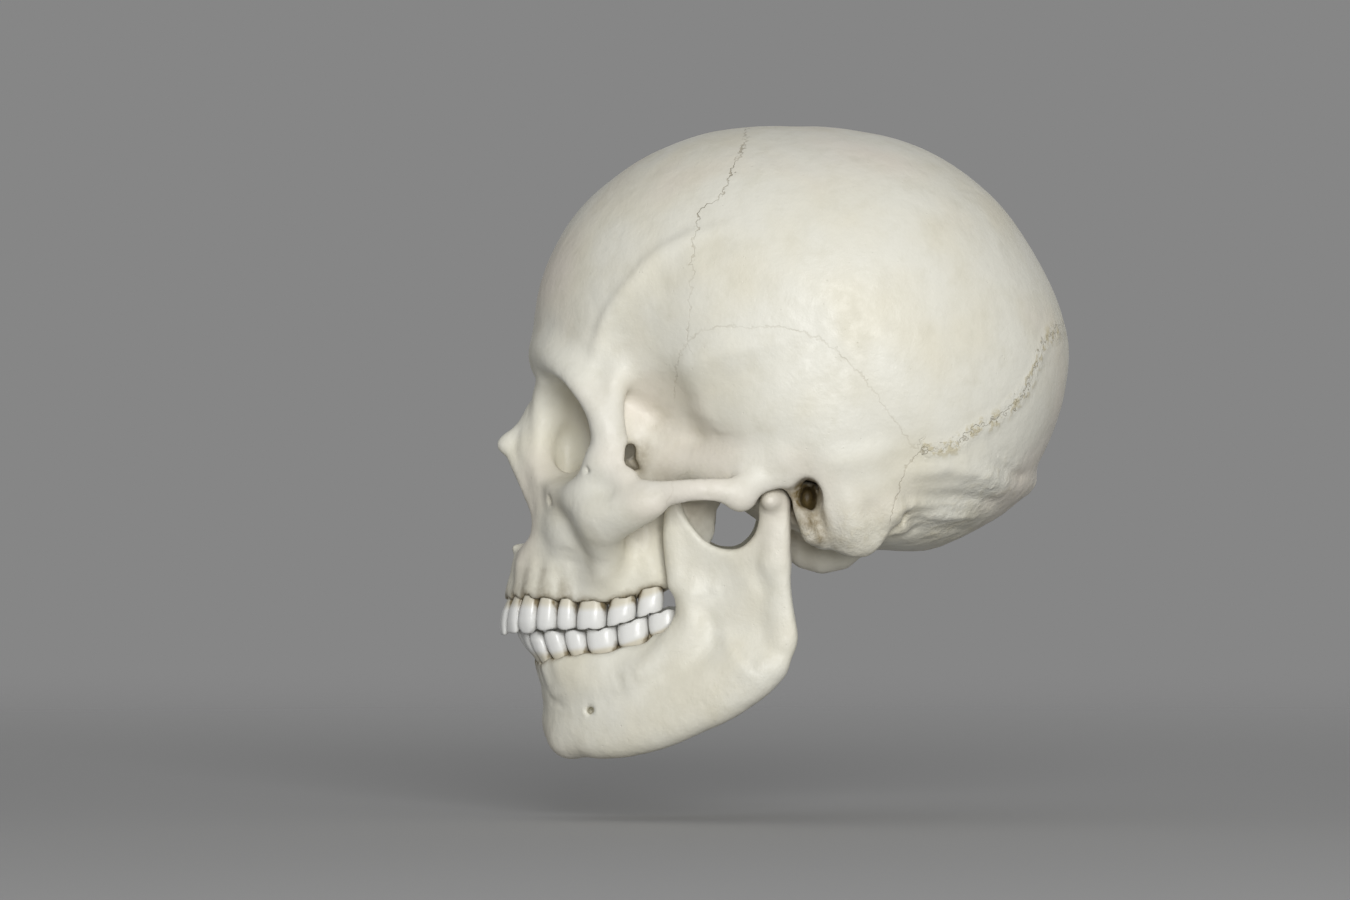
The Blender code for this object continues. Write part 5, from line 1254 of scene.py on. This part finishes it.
def seam_curves(tree):
    """Each suture: its swing, its darkness, then points on the outer surface."""
    curves = []
    for name, (swing, dark, rows) in SEAM_SHARES.items():
        points = []
        for y, z in side_places(rows):
            hit = tree.ray_cast(Vector((CRANIAL_BREADTH, y, z)), Vector((-1, 0, 0)))[0]
            points.append(tuple(hit) if hit else (0, y, z))
        if name in ("coronal", "lambdoid"):
            points[0] = (0, points[0][1], points[0][2])
        for side in SIDES.values():
            curves.append((swing, dark, [(side * x, y, z) for x, y, z in spline(points, SEAM_POINTS)]))
    start, end = SEAM_SHARES["coronal"][2][0], SEAM_SHARES["lambdoid"][2][0]
    between = [row for row in VAULT_SHARES if start[0] < row[0] < end[0] and row[1] > end[1]]
    crest = [(0, y, z) for y, z in side_places([start] + between + [end])]
    curves.append((SAGITTAL_SWING, SAGITTAL_DARKNESS, spline(crest, SEAM_POINTS)))
    return curves


def store_seams(data, places, normals):
    """Signed distance to the nearest suture in mm, how far that suture swings, and how dark it is."""
    tree = BVHTree.FromPolygons([tuple(p) for p in places], [tuple(f.vertices) for f in data.polygons])
    dots, ways, looks = [], [], []
    for swing, dark, points in seam_curves(tree):
        points = np.array([tuple(tree.find_nearest(Vector(p))[0]) for p in points])
        ways.append(np.gradient(points, axis=0))
        dots.append(points)
        looks.append(np.tile((swing, dark), (len(points), 1)))
    dots, ways, looks = np.vstack(dots), np.vstack(ways), np.vstack(looks)
    ways /= np.linalg.norm(ways, axis=1)[:, None]
    finder = KDTree(len(dots))
    for i, dot in enumerate(dots):
        finder.insert(dot, i)
    finder.balance()
    found = [finder.find(spot)[1:] for spot in places]
    nearest = np.array([index for index, _ in found])
    away = np.array([distance for _, distance in found])
    side = np.einsum("ij,ij->i", np.cross(ways[nearest], normals), places - dots[nearest])
    gap = np.copysign(np.minimum(away, SEAM_REACH), side) / MM
    fade = np.clip(2 - 2 * away / SEAM_REACH, 0, 1)
    look = looks[nearest] * np.stack([np.ones(len(places)), fade], 1)
    store(data, "seam_gap", gap)
    store(data, "seam_swing", look[:, 0])
    store(data, "seam_dark", look[:, 1])


def node(tree, kind, settings=None, inputs=None):
    """Adds one node, with its settings, and its inputs set or linked."""
    made = tree.nodes.new(kind)
    for key, value in (settings or {}).items():
        setattr(made, key, value)
    for key, value in (inputs or {}).items():
        if isinstance(value, bpy.types.NodeSocket):
            tree.links.new(value, made.inputs[key])
        else:
            made.inputs[key].default_value = value
    return made


def relief_tree(name):
    """Geometry nodes that lift and sink a surface by fine noise, more where it is rough."""
    tree = bpy.data.node_groups.new(name, "GeometryNodeTree")
    panel = tree.interface
    panel.new_socket("Geometry", in_out="INPUT", socket_type="NodeSocketGeometry")
    for label, value in RELIEF_INPUTS:
        made = panel.new_socket(label, in_out="INPUT", socket_type="NodeSocketFloat")
        made.default_value = value
    panel.new_socket("Finish", in_out="INPUT", socket_type="NodeSocketMaterial")
    panel.new_socket("Geometry", in_out="OUTPUT", socket_type="NodeSocketGeometry")
    enter = node(tree, "NodeGroupInput").outputs
    spot = node(tree, "GeometryNodeInputPosition").outputs[0]
    in_mm = node(tree, "ShaderNodeVectorMath", {"operation": "SCALE"}, {0: spot, "Scale": 1 / MM}).outputs[0]
    moves = []
    for grain, depth, detail in (("Grain", "Depth", 3.0), ("Rough Grain", "Rough Depth", 2.0)):
        share = node(tree, "ShaderNodeMath", {"operation": "DIVIDE"}, {0: 1.0, 1: enter[grain]}).outputs[0]
        noise = node(tree, "ShaderNodeTexNoise", {"noise_dimensions": "4D"},
                     {"Vector": in_mm, "W": enter["Seed"], "Scale": share, "Detail": detail}).outputs[0]
        middle = node(tree, "ShaderNodeMath", {"operation": "SUBTRACT"}, {0: noise, 1: 0.5}).outputs[0]
        moves.append(node(tree, "ShaderNodeMath", {"operation": "MULTIPLY"},
                          {0: middle, 1: enter[depth]}).outputs[0])
    rough = node(tree, "GeometryNodeInputNamedAttribute", {"data_type": "FLOAT"},
                 {"Name": "rough"}).outputs[0]
    coarse = node(tree, "ShaderNodeMath", {"operation": "MULTIPLY"}, {0: moves[1], 1: rough}).outputs[0]
    height = node(tree, "ShaderNodeMath", {"operation": "ADD"}, {0: moves[0], 1: coarse}).outputs[0]
    # The noise runs half a height to either side, so its full height takes twice that
    height = node(tree, "ShaderNodeMath", {"operation": "MULTIPLY"}, {0: height, 1: 2 * MM}).outputs[0]
    normal = node(tree, "GeometryNodeInputNormal").outputs[0]
    offset = node(tree, "ShaderNodeVectorMath", {"operation": "SCALE"},
                  {0: normal, "Scale": height}).outputs[0]
    moved = node(tree, "GeometryNodeSetPosition", None,
                 {"Geometry": enter["Geometry"], "Offset": offset}).outputs[0]
    real = node(tree, "GeometryNodeRealizeInstances", None, {"Geometry": moved}).outputs[0]
    done = node(tree, "GeometryNodeSetMaterial", None,
                {"Geometry": real, "Material": enter["Finish"]}).outputs[0]
    node(tree, "NodeGroupOutput", None, {"Geometry": done})
    return tree


def work_relief(obj, finish, settings):
    """Gives an object the fine relief of a cast of real bone."""
    tree = bpy.data.node_groups.get("cast_relief") or relief_tree("cast_relief")
    relief = obj.modifiers.new("relief", "NODES")
    relief.node_group = tree
    values = {"Grain": settings.relief_grain / MM, "Depth": settings.relief_depth / MM,
              "Rough Grain": settings.rough_grain / MM, "Rough Depth": settings.rough_depth / MM,
              "Finish": finish}
    for item in tree.interface.items_tree:
        if item.in_out == "INPUT" and item.name in values:
            relief[item.identifier] = values[item.name]
    return settled(obj)


def linear(hex_code):
    """A colour written as sRGB hex, as the linear value that Blender works in."""
    parts = [int(hex_code[i:i + 2], 16) / 255 for i in (1, 3, 5)]
    return tuple(c / 12.92 if c <= 0.04045 else ((c + 0.055) / 1.055) ** 2.4 for c in parts)


def work_out(tree, made, rows):
    """Adds the nodes of a table in order; a name among a row's values stands for an earlier result."""
    for name, kind, *values in rows:
        node_kind, settings, sockets, output = NODE_KINDS[kind]
        inputs = {socket: made[value] if isinstance(value, str) else value
                  for socket, value in zip(sockets, values)}
        made[name] = node(tree, node_kind, settings, inputs).outputs[output]
    return made


def first_parts(tree, marks, colours, shades):
    """What a material's tables can name from the start: the spot, marks on the mesh and colours."""
    parts = {"spot": node(tree, "ShaderNodeTexCoord").outputs["Object"]}
    for mark in marks:
        parts[mark] = node(tree, "ShaderNodeAttribute", {"attribute_name": mark}).outputs["Fac"]
    for shade in shades:
        parts[shade] = tuple(getattr(colours, shade)) + (1,)
    return parts


def bone_material(colours, settings):
    """Cast polyurethane resin, ivory and satin: the eye gets a dry, even sheen over mottled
    cream, thin brown sutures, and painted shade with old stain in the deep corners."""
    made = bpy.data.materials.get("cast_polyurethane_bone")
    if made:
        return made
    made = bpy.data.materials.new("cast_polyurethane_bone")
    made.use_nodes = True
    tree = made.node_tree
    shader = tree.nodes["Principled BSDF"]
    parts = first_parts(
        tree, ("rough", "hollow", "stain", "seam_gap", "seam_swing", "seam_dark"), colours,
        ("bone", "bone_warm", "bone_rosy", "bone_shade", "crevice_grime_and_shade", "seam_brown", "stain_brown"))
    # Mottling 30 mm and 9 mm across, and a rosy cast 60 mm across
    work_out(tree, parts, (
        ("cloud", "NOISE", "spot", 1 / (30 * MM), 2, 0.5),
        ("warmth", "SPREAD", "cloud", 0.35, 0.7, 0, 0.8),
        ("colour", "BLEND", "warmth", "bone", "bone_warm"),
        ("blush", "NOISE", "spot", 1 / (60 * MM), 2, 0.5),
        ("rosiness", "SPREAD", "blush", 0.5, 0.72, 0, 0.55),
        ("colour", "BLEND", "rosiness", "colour", "bone_rosy"),
        ("mottle", "NOISE", "spot", 1 / (9 * MM), 4, 0.65),
        ("shade", "SPREAD", "mottle", 0.45, 0.75, 0, 0.3),
        ("colour", "BLEND", "shade", "colour", "bone_shade"),
        ("coarse", "NOISE", "spot", 1 / (3.5 * MM), 4, 0.7),
        ("grime", "SPREAD", "coarse", 0.45, 0.68, 0, 0.3),
        ("grime", "MULTIPLY", "grime", "rough"),
        ("colour", "BLEND", "grime", "colour", "crevice_grime_and_shade"),
        # Painted shade, with old stain: darker towards the crevice colour where the bone is shut in
        ("depth", "SPREAD", "hollow", 0.6, 1, 0, 0.22),
        ("colour", "BLEND", "depth", "colour", "crevice_grime_and_shade")))
    # Sutures: the signed distance in mm, shaken by noise 2.6 mm and 1 mm across
    work_out(tree, parts, (
        ("zigzag", "NOISE", "spot", 1 / (2.6 * MM), 1.5, 0.5),
        ("zigzag", "SUBTRACT", "zigzag", 0.5),
        ("zigzag", "MULTIPLY", "zigzag", 3.6),
        ("tremble", "NOISE", "spot", 1 / (1 * MM), 1, 0.5),
        ("tremble", "SUBTRACT", "tremble", 0.5),
        ("tremble", "MULTIPLY", "tremble", 1.4),
        ("wander", "ADD", "zigzag", "tremble"),
        ("wander", "MULTIPLY", "wander", "seam_swing"),
        ("wander", "ADD", "wander", "seam_gap"),
        ("away", "ABSOLUTE", "wander"),
        ("line", "SPREAD", "away", 0, settings.seam_width / MM, 1, 0),
        ("patch", "NOISE", "spot", 1 / (9 * MM), 2, 0.5),
        ("patch", "SPREAD", "patch", 0.35, 0.6, 0.45, 1),
        ("line", "MULTIPLY", "line", "patch"),
        ("line", "MULTIPLY", "line", "seam_dark"),
        ("colour", "BLEND", "line", "colour", "seam_brown"),
        ("beside", "ABSOLUTE", "seam_gap"),
        ("beside", "SPREAD", "beside", 1, 5.5, 1, 0),
        ("breadth", "SPREAD", "seam_swing", 1.8, 3, 0, 1),
        ("band", "MULTIPLY", "beside", "breadth"),
        ("band", "MULTIPLY", "band", "seam_dark"),
        ("speck", "NOISE", "spot", 1 / (3.6 * MM), 4, 0.65),
        ("speckle", "SPREAD", "speck", 0.5, 0.62, 0, 1),
        ("speckle", "MULTIPLY", "speckle", "band"),
        ("colour", "BLEND", "speckle", "colour", "crevice_grime_and_shade"),
        ("blot", "NOISE", "spot", 1 / (2.5 * MM), 3, 0.6),
        ("blot", "SPREAD", "blot", 0.2, 0.7, 0.45, 1),
        ("blot", "MULTIPLY", "blot", "stain"),
        ("colour", "BLEND", "blot", "colour", "stain_brown")))
    # Pores, drawn a little coarser than real ones to show
    work_out(tree, parts, (
        ("cells", "CELLS", "spot", 1 / (2.4 * MM)),
        ("pores", "SPREAD", "cells", 0, 0.16, 1, 0),
        ("pored", "NOISE", "spot", 1 / (8 * MM), 2, 0.5),
        ("pored", "SPREAD", "pored", 0.45, 0.7, 0, 0.12),
        ("pores", "MULTIPLY", "pores", "pored"),
        ("grain", "NOISE", "spot", 1 / (1.4 * MM), 4, 0.6),
        ("height", "MULTIPLY", "grain", 0.1),
        ("ripple", "NOISE", "spot", 1 / (5 * MM), 3, 0.5),
        ("ripple", "MULTIPLY", "ripple", 0.25),
        ("height", "ADD", "height", "ripple"),
        ("height", "SUBTRACT", "height", "pores"),
        ("groove", "MULTIPLY", "line", settings.seam_depth / MM),
        ("height", "SUBTRACT", "height", "groove"),
        ("crumble", "MULTIPLY", "coarse", "rough"),
        ("height", "ADD", "height", "crumble"),
        ("knobs", "MULTIPLY", "speck", "band"),
        ("height", "ADD", "height", "knobs"),
        ("normal", "BUMP", "height", 1, MM),
        ("satin", "NOISE", "spot", 1 / (4 * MM), 3, 0.5),
        ("satin", "SPREAD", "satin", 0.3, 0.7, 0.42, 0.56)))
    for name, socket in (("colour", "Base Color"), ("normal", "Normal"), ("satin", "Roughness")):
        tree.links.new(parts[name], shader.inputs[socket])
    shader.inputs["IOR"].default_value = RESIN_IOR
    return made


def tooth_material(colours):
    """Glazed acrylic crowns: the eye gets clean, cool white with a wet gloss, going cream and
    then brown where the crown meets its socket."""
    made = bpy.data.materials.get("glazed_acrylic_tooth")
    if made:
        return made
    made = bpy.data.materials.new("glazed_acrylic_tooth")
    made.use_nodes = True
    tree = made.node_tree
    shader = tree.nodes["Principled BSDF"]
    parts = first_parts(tree, ("rise", "groove", "stain"), colours, ("tooth", "tooth_neck", "stain_brown"))
    work_out(tree, parts, (
        ("cream", "SPREAD", "rise", 0, 0.28, 0.55, 0),
        ("colour", "BLEND", "cream", "tooth", "tooth_neck"),
        ("cloud", "NOISE", "spot", 1 / (2.2 * MM), 3, 0.5),
        ("patch", "MULTIPLY", "stain", "cloud"),
        ("patch", "SPREAD", "patch", 0.1, 0.6, 0, 0.85),
        ("colour", "BLEND", "patch", "colour", "stain_brown"),
        ("dark", "SPREAD", "groove", 0.5, 1, 0, 0.5),
        ("colour", "BLEND", "dark", "colour", "tooth_neck"),
        ("grain", "NOISE", "spot", 1 / (1.6 * MM), 2, 0.5),
        ("normal", "BUMP", "grain", 0.05, MM)))
    for name, socket in (("colour", "Base Color"), ("normal", "Normal")):
        tree.links.new(parts[name], shader.inputs[socket])
    shader.inputs["Roughness"].default_value = TOOTH_ROUGHNESS
    shader.inputs["IOR"].default_value = RESIN_IOR
    return made


def bell(shape, away):
    """How deep a rounded dip of some depth and reach is, this far from its middle."""
    depth, reach = shape
    return depth * math.exp(-(away / reach) ** 2)


def crown_sink(form, across, along, closed):
    """How far the biting surface sinks at a place on it: notches in its rim, a pit within."""
    if form == "molar":
        fall, power = MOLAR_FALL
        notch = bell(MOLAR_NOTCH, along) + fall * abs(along) ** power
        furrow = bell(MOLAR_FURROW, across) + bell(MOLAR_CROSS_FURROW, along)
    elif form == "premolar":
        fall, power = PREMOLAR_FALL
        notch = fall * abs(along) ** power
        furrow = bell(PREMOLAR_FURROW, across)
    else:
        return 0.0
    inside = min(1, (1 - closed) / RIM_SHARE)
    return min(1.0, notch + (furrow + PIT_SHARE - notch) * inside)


def crown_stain(sideways, t):
    """How stained a crown is, by how far it faces the next tooth and how far along it is."""
    start, span = FLANK_SHARES
    full, reach, least = FLANK_STAIN
    flank = max(0, sideways - start) / span * max(least, full - t / reach)
    return min(1, flank + bell(NECK_STAIN, max(t, 0)))


def crown_mesh(name, jaw, side, index, finish):
    """One tooth: root and crown drawn as many rings, its biting end closed with cusps."""
    neck, tip, along, width = arch_places(jaw)[index]
    width += TOOTH_GAP - CONTACT_GAP
    form = TOOTH_FORMS[index]
    depth = CROWN_DEPTHS[jaw][index]
    up = ROOT_WAYS[jaw]
    crown = tip - neck
    root = root_of(crown, up, ROOT_LENGTH)
    out = np.cross(along, (0, 0, 1))
    slope = neck_slope(jaw, index)
    levels = np.concatenate([np.linspace(-1, 0, ROOT_RINGS)[:-1], np.linspace(0, 1, CROWN_RINGS)])
    rings = [tuple(row) + (1,) for row in smooth_rows(np.array(TOOTH_RING_SHARES[form]), levels)]
    rings += [(1,) + rings[-1][1:3] + (share,) for share in CLOSING_SHARES]
    rises, grooves, stains, loops = [], [], [], []
    work = bmesh.new()
    for t, wide, deep, closed in rings:
        middle = neck + (crown * t if t > 0 else -root * t)
        ring = []
        for i in range(CROWN_SIDES):
            angle = 2 * math.pi * i / CROWN_SIDES
            ca, sa = math.cos(angle), math.sin(angle)
            size = (abs(ca) ** TOOTH_FULLNESS + abs(sa) ** TOOTH_FULLNESS) ** (-1 / TOOTH_FULLNESS)
            a, b = sa * size * closed, ca * size * closed
            narrow = 1 - INNER_NARROWING_SHARE * (1 - sa * size) / 2
            spot = middle + along * b * wide * width / 2 * narrow + out * a * deep * depth / 2
            sink = 0.0
            spot[2] += slope * (spot[1] - neck[1]) * (1 - max(t, 0) ** 2)
            if t > 0 and form in ("premolar", "molar"):
                level = bite_height(spot[1]) + up * CONTACT_GAP
                spot[2] += (level - tip[2]) * t ** 2
                sink = crown_sink(form, a, b, closed)
                spot[2] += up * sink * CUSP_DEPTH * max(0, (t - (1 - CUSP_SHARE)) / CUSP_SHARE)
            elif closed < 1:
                spot[2] -= up * (1 - closed) * EDGE_CROWN
            ring.append(spot)
            rises.append(t)
            grooves.append(sink if closed < GROOVE_SHARE else 0)
            stains.append(crown_stain(abs(ca * size), t))
        loops.append([work.verts.new(p * np.array([SIDES[side], 1, 1])) for p in ring])
    for lower, upper in zip(loops[:-1], loops[1:]):
        for i in range(CROWN_SIDES):
            j = (i + 1) % CROWN_SIDES
            work.faces.new((lower[i], lower[j], upper[j], upper[i]))
    work.faces.new(loops[0][::-1])
    work.faces.new(loops[-1])
    bmesh.ops.recalc_face_normals(work, faces=work.faces)
    data = bpy.data.meshes.new(name)
    work.to_mesh(data)
    work.free()
    for mark, values in (("rise", rises), ("groove", grooves), ("stain", stains)):
        store(data, mark, values)
    data.materials.append(finish)
    data.shade_smooth()
    return data


def smooth_rows(table, levels):
    """The ring table read at finer levels, its corners rounded."""
    fine = np.linspace(table[0, 0], table[-1, 0], RING_STEPS)
    columns = [levels]
    for column in (1, 2):
        values = np.interp(fine, table[:, 0], table[:, column])
        padded = np.pad(values, ROUNDING, mode="edge")
        kernel = np.ones(2 * ROUNDING + 1) / (2 * ROUNDING + 1)
        soft = np.convolve(padded, kernel, mode="valid")
        ends = np.clip(np.minimum(fine - fine[0], fine[-1] - fine) / ROUND_END_SHARE, 0, 1)
        columns.append(np.interp(levels, fine, values + (soft - values) * ends))
    return np.column_stack(columns)


def hex_prop(name, code, note):
    """A colour a user can change, written as sRGB hex."""
    return bpy.props.FloatVectorProperty(name=name, description=note, subtype="COLOR", size=3, min=0, max=1,
                                         default=linear(code))


def length_prop(name, value, note):
    """A length a user can change."""
    return bpy.props.FloatProperty(name=name, description=note, default=value, min=0, unit="LENGTH",
                                   subtype="DISTANCE", precision=5)


class SkullSizes(bpy.types.PropertyGroup):
    relief_grain: length_prop("Relief grain", 8 * MM, "Width of the gentle waves all over the bone")
    relief_depth: length_prop("Relief depth", 0.22 * MM, "Height of the gentle waves")
    rough_grain: length_prop("Rough grain", 5 * MM, "Width of the ridges where muscles held on")
    rough_depth: length_prop("Rough depth", 1.1 * MM, "Height of the ridges where muscles held on")
    seam_width: length_prop("Suture width", 0.5 * MM, "Half the width of a suture line")
    seam_depth: length_prop("Suture depth", 0.3 * MM, "How deep a suture line is pressed in")


class SkullColours(bpy.types.PropertyGroup):
    bone: hex_prop("Bone", "#DFDDD1", "The bone's main colour")
    bone_warm: hex_prop("Warm bone", "#DAD5C2", "Yellower patches")
    # Grime in rough places, specks by the sutures, and painted shade in the hollows
    bone_rosy: hex_prop("Rosy bone", "#E2D9D0", "Pinker patches")
    bone_shade: hex_prop("Shaded bone", "#C9C5B2", "Small darker mottling")
    crevice_grime_and_shade: hex_prop("Crevices", "#BBAF88", "Hollows and rough places")
    seam_brown: hex_prop("Sutures", "#8F8263", "The lines between the skull bones")
    stain_brown: hex_prop("Stain", "#75643F", "Brown stain by the teeth and in the ear")
    tooth: hex_prop("Teeth", "#E2E2DF", "The crowns")
    tooth_neck: hex_prop("Tooth necks", "#C9BE9D", "The crowns near the bone")
    backdrop: hex_prop("Backdrop", "#868686", "The grey behind the skull")
    board: hex_prop("Floor board", "#A4A4A4", "The paler board beneath, which the lamps light to that grey")


def declare(piece, owner, body):
    """Hides the CAD part that a piece replaces, and hangs the piece on the body it rides on."""
    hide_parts(owner)
    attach(piece, body)


def within_box(data):
    """Keeps every vertex inside the CAD model's box."""
    places, _ = vertex_arrays(data)
    data.vertices.foreach_set("co", np.clip(places, CAD_BOX[0], CAD_BOX[1]).ravel())
    data.update()


def thin_out(obj, faces, inner=None):
    """Thins a mesh to a number of triangles, most of all where it is marked as inner."""
    obj.modifiers.new("corners", "TRIANGULATE")
    thin = obj.modifiers.new("thin_out", "DECIMATE")
    thin.ratio = min(1, faces / (2 * len(obj.data.polygons)))
    if inner is not None:
        group = obj.vertex_groups.new(name="inner")
        group.add([int(i) for i in np.flatnonzero(inner)], 1, "REPLACE")
        group.add([int(i) for i in np.flatnonzero(~inner)], OUTER_WEIGHT, "REPLACE")
        thin.vertex_group = group.name
        thin.vertex_group_factor = 1
    settled(obj)
    obj.vertex_groups.clear()


def drop_slivers(data):
    """Merges away the thin triangles that thinning turned over, which would show as dark specks."""
    work = bmesh.new()
    work.from_mesh(data)
    work.normal_update()
    turned = [face for face in work.faces if face.calc_area() < SLIVER_AREA
              and any(corner.normal.dot(face.normal) < 0 for corner in face.verts)]
    shortest = {min(face.edges, key=lambda edge: edge.calc_length()).index: face for face in turned}
    work.edges.ensure_lookup_table()
    bmesh.ops.collapse(work, edges=[work.edges[index] for index in sorted(shortest)])
    work.to_mesh(data)
    work.free()


def dressed(obj, clay, rough_rows, scene):
    """Gives a bone its rough places, relief and painted shade in hollows: its mesh, places and normals."""
    store(obj.data, "rough", spots(rough_rows, vertex_arrays(obj.data)[0]))
    finish = bone_material(scene.skull_colours, scene.skull_sizes)
    data = work_relief(obj, finish, scene.skull_sizes)
    drop_slivers(data)
    places, normals = vertex_arrays(data)
    store(data, "hollow", shade_in_hollows(clay, places, normals))
    return data, places, normals


class SKULL_OT_mandible(bpy.types.Operator):
    """Models the lower jaw, its relief and its stains"""
    bl_idname = "skull.mandible"
    bl_label = "Mandible"

    def execute(self, context):
        clay = model_mandible(MANDIBLE_GRID)
        refine_mandible(clay)
        FORMS["jaw"] = clay
        jaw = shown_object("cast_mandible", mesh_of("cast_mandible", clay))
        thin_out(jaw, MANDIBLE_FACES)
        data, places, _ = dressed(jaw, clay, JAW_ROUGH_SHARES, context.scene)
        store(data, "stain", gum_stain("lower", places))
        store(data, "seam_gap", np.full(len(places), SEAM_REACH / MM))
        for mark in ("seam_swing", "seam_dark"):
            store(data, mark, np.zeros(len(places)))
        within_box(data)
        data.shade_smooth()
        declare(jaw, "mandible", "mandible")
        return {"FINISHED"}


class SKULL_OT_cranium(bpy.types.Operator):
    """Models the skull above the jaw, with its sutures, relief and stains"""
    bl_idname = "skull.cranium"
    bl_label = "Cranium"

    def execute(self, context):
        if "jaw" not in FORMS:
            raise RuntimeError("Build the mandible first: the cranium is cut clear of its swing")
        clay = model_cranium(CRANIUM_GRID, FORMS["jaw"])
        refine_cranium(clay)
        cranium = shown_object("cast_cranium", mesh_of("cast_cranium", clay))
        places, normals = vertex_arrays(cranium.data)
        centre = place(CAVITY_SHARES)
        inner = ((places - centre) * normals).sum(1) < 0
        inner &= brain_cavity()[0](np.abs(places[:, 0]), places[:, 1], places[:, 2]) < INNER_REACH
        thin_out(cranium, CRANIUM_FACES, inner)
        data, places, normals = dressed(cranium, clay, ROUGH_SHARES, context.scene)
        store(data, "stain", np.maximum(gum_stain("upper", places), spots(STAIN_SHARES, places)))
        store_seams(data, places, normals)
        within_box(data)
        data.shade_smooth()
        declare(cranium, "cranium", "cranium")
        return {"FINISHED"}


class SKULL_OT_teeth(bpy.types.Operator):
    """Makes the 32 teeth, each in its own socket"""
    bl_idname = "skull.teeth"
    bl_label = "Teeth"

    def execute(self, context):
        finish = tooth_material(context.scene.skull_colours)
        for jaw, body in (("upper", "cranium"), ("lower", "mandible")):
            for side in SIDES:
                for index, tooth in enumerate(TEETH):
                    owner = f"{jaw}_{side}_{tooth}"
                    name = f"set_{owner}"
                    crown = shown_object(name, crown_mesh(name, jaw, side, index, finish))
                    declare(crown, owner, body)
        return {"FINISHED"}


class SKULL_OT_stage(bpy.types.Operator):
    """Sets the floor, the lamps and the camera"""
    bl_idname = "skull.stage"
    bl_label = "Stage"

    def execute(self, context):
        scene = context.scene
        grey = tuple(scene.skull_colours.backdrop) + (1,)
        low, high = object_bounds()
        floor = shown_object("studio_floor", disc_mesh("studio_floor", FLOOR_RADIUS, low[2] - JAW_DIP))
        floor.data.materials.append(floor_material(tuple(scene.skull_colours.board) + (1,)))
        floor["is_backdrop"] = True
        world = bpy.data.worlds.new("studio_grey")
        world.use_nodes = True
        tree = world.node_tree
        back = tree.nodes["Background"]
        path = node(tree, "ShaderNodeLightPath").outputs
        seen = path["Is Camera Ray"]
        for other in ("Is Glossy Ray", "Is Transmission Ray"):
            seen = node(tree, "ShaderNodeMath", {"operation": "MAXIMUM"},
                        {0: seen, 1: path[other]}).outputs[0]
        colour = node(tree, "ShaderNodeMix", {"data_type": "RGBA"},
                      {"Factor": seen, "A": FILL_LIGHT, "B": grey}).outputs["Result"]
        tree.links.new(colour, back.inputs["Color"])
        scene.world = world
        for name, spot, size, power in LAMPS:
            data = bpy.data.lights.new(name, "AREA")
            data.size, data.energy = size, power
            lamp = shown_object(name, data)
            lamp.location = spot
            lamp.rotation_euler = (Vector(AIM) - Vector(spot)).to_track_quat("-Z", "Y").to_euler()
        lens = bpy.data.cameras.new("camera")
        lens.sensor_width = SENSOR_WIDTH
        lens.lens = SENSOR_WIDTH * CAMERA_AWAY / FRAME_WIDTH
        camera = shown_object("camera", lens)
        camera.location = (CAMERA_AWAY, FRAME_CENTRE[0], FRAME_CENTRE[1])
        camera.rotation_euler = (math.pi / 2, 0, math.pi / 2)
        scene.camera = camera
        scene.view_settings.view_transform = "Standard"
        return {"FINISHED"}


class SKULL_PT_sidebar(bpy.types.Panel):
    """Lists the pieces that can be built"""
    bl_label = "Skull"
    bl_space_type = "VIEW_3D"
    bl_region_type = "UI"
    bl_category = "Skull"

    def draw(self, context):
        for operator in OPERATORS:
            self.layout.operator(operator.bl_idname)
        for group in (context.scene.skull_sizes, context.scene.skull_colours):
            for key in group.bl_rna.properties.keys():
                if key not in ("rna_type", "name"):
                    self.layout.prop(group, key)


def disc_mesh(name, radius, height):
    """A flat round floor."""
    work = bmesh.new()
    bmesh.ops.create_circle(work, cap_ends=True, segments=FLOOR_SIDES, radius=radius)
    bmesh.ops.translate(work, verts=work.verts, vec=(0, 0, height))
    data = bpy.data.meshes.new(name)
    work.to_mesh(data)
    work.free()
    return data


def floor_material(grey):
    """Matt painted board: a plain even grey that shows only the shadow."""
    made = bpy.data.materials.new("matt_painted_board")
    made.use_nodes = True
    tree = made.node_tree
    shader = tree.nodes["Principled BSDF"]
    shader.inputs["Base Color"].default_value = grey
    shader.inputs["Roughness"].default_value = BOARD_ROUGHNESS
    spot = node(tree, "ShaderNodeTexCoord").outputs["Object"]
    away = node(tree, "ShaderNodeVectorMath", {"operation": "LENGTH"}, {0: spot}).outputs["Value"]
    fade = node(tree, "ShaderNodeMapRange", {"interpolation_type": "SMOOTHSTEP"},
                {"Value": away, "From Min": FADE_START,
                 "From Max": FLOOR_RADIUS * FADE_END_SHARE}).outputs[0]
    clear = node(tree, "ShaderNodeBsdfTransparent").outputs[0]
    mixed = node(tree, "ShaderNodeMixShader", None, {0: fade, 1: shader.outputs[0], 2: clear}).outputs[0]
    tree.links.new(mixed, tree.nodes["Material Output"].inputs["Surface"])
    return made


OPERATORS = (SKULL_OT_mandible, SKULL_OT_cranium, SKULL_OT_teeth, SKULL_OT_stage)
CLASSES = (SkullSizes, SkullColours) + OPERATORS + (SKULL_PT_sidebar,)


def register():
    """Makes the operators and settings known to Blender."""
    for made in CLASSES:
        bpy.utils.register_class(made)
    bpy.types.Scene.skull_sizes = bpy.props.PointerProperty(type=SkullSizes)
    bpy.types.Scene.skull_colours = bpy.props.PointerProperty(type=SkullColours)


def unregister():
    """Takes them away again."""
    del bpy.types.Scene.skull_colours
    del bpy.types.Scene.skull_sizes
    for made in reversed(CLASSES):
        bpy.utils.unregister_class(made)


def main():
    """Builds every piece in order."""
    register()
    bpy.ops.skull.mandible()
    bpy.ops.skull.cranium()
    bpy.ops.skull.teeth()
    bpy.ops.skull.stage()


if __name__ == "__main__":
    main()
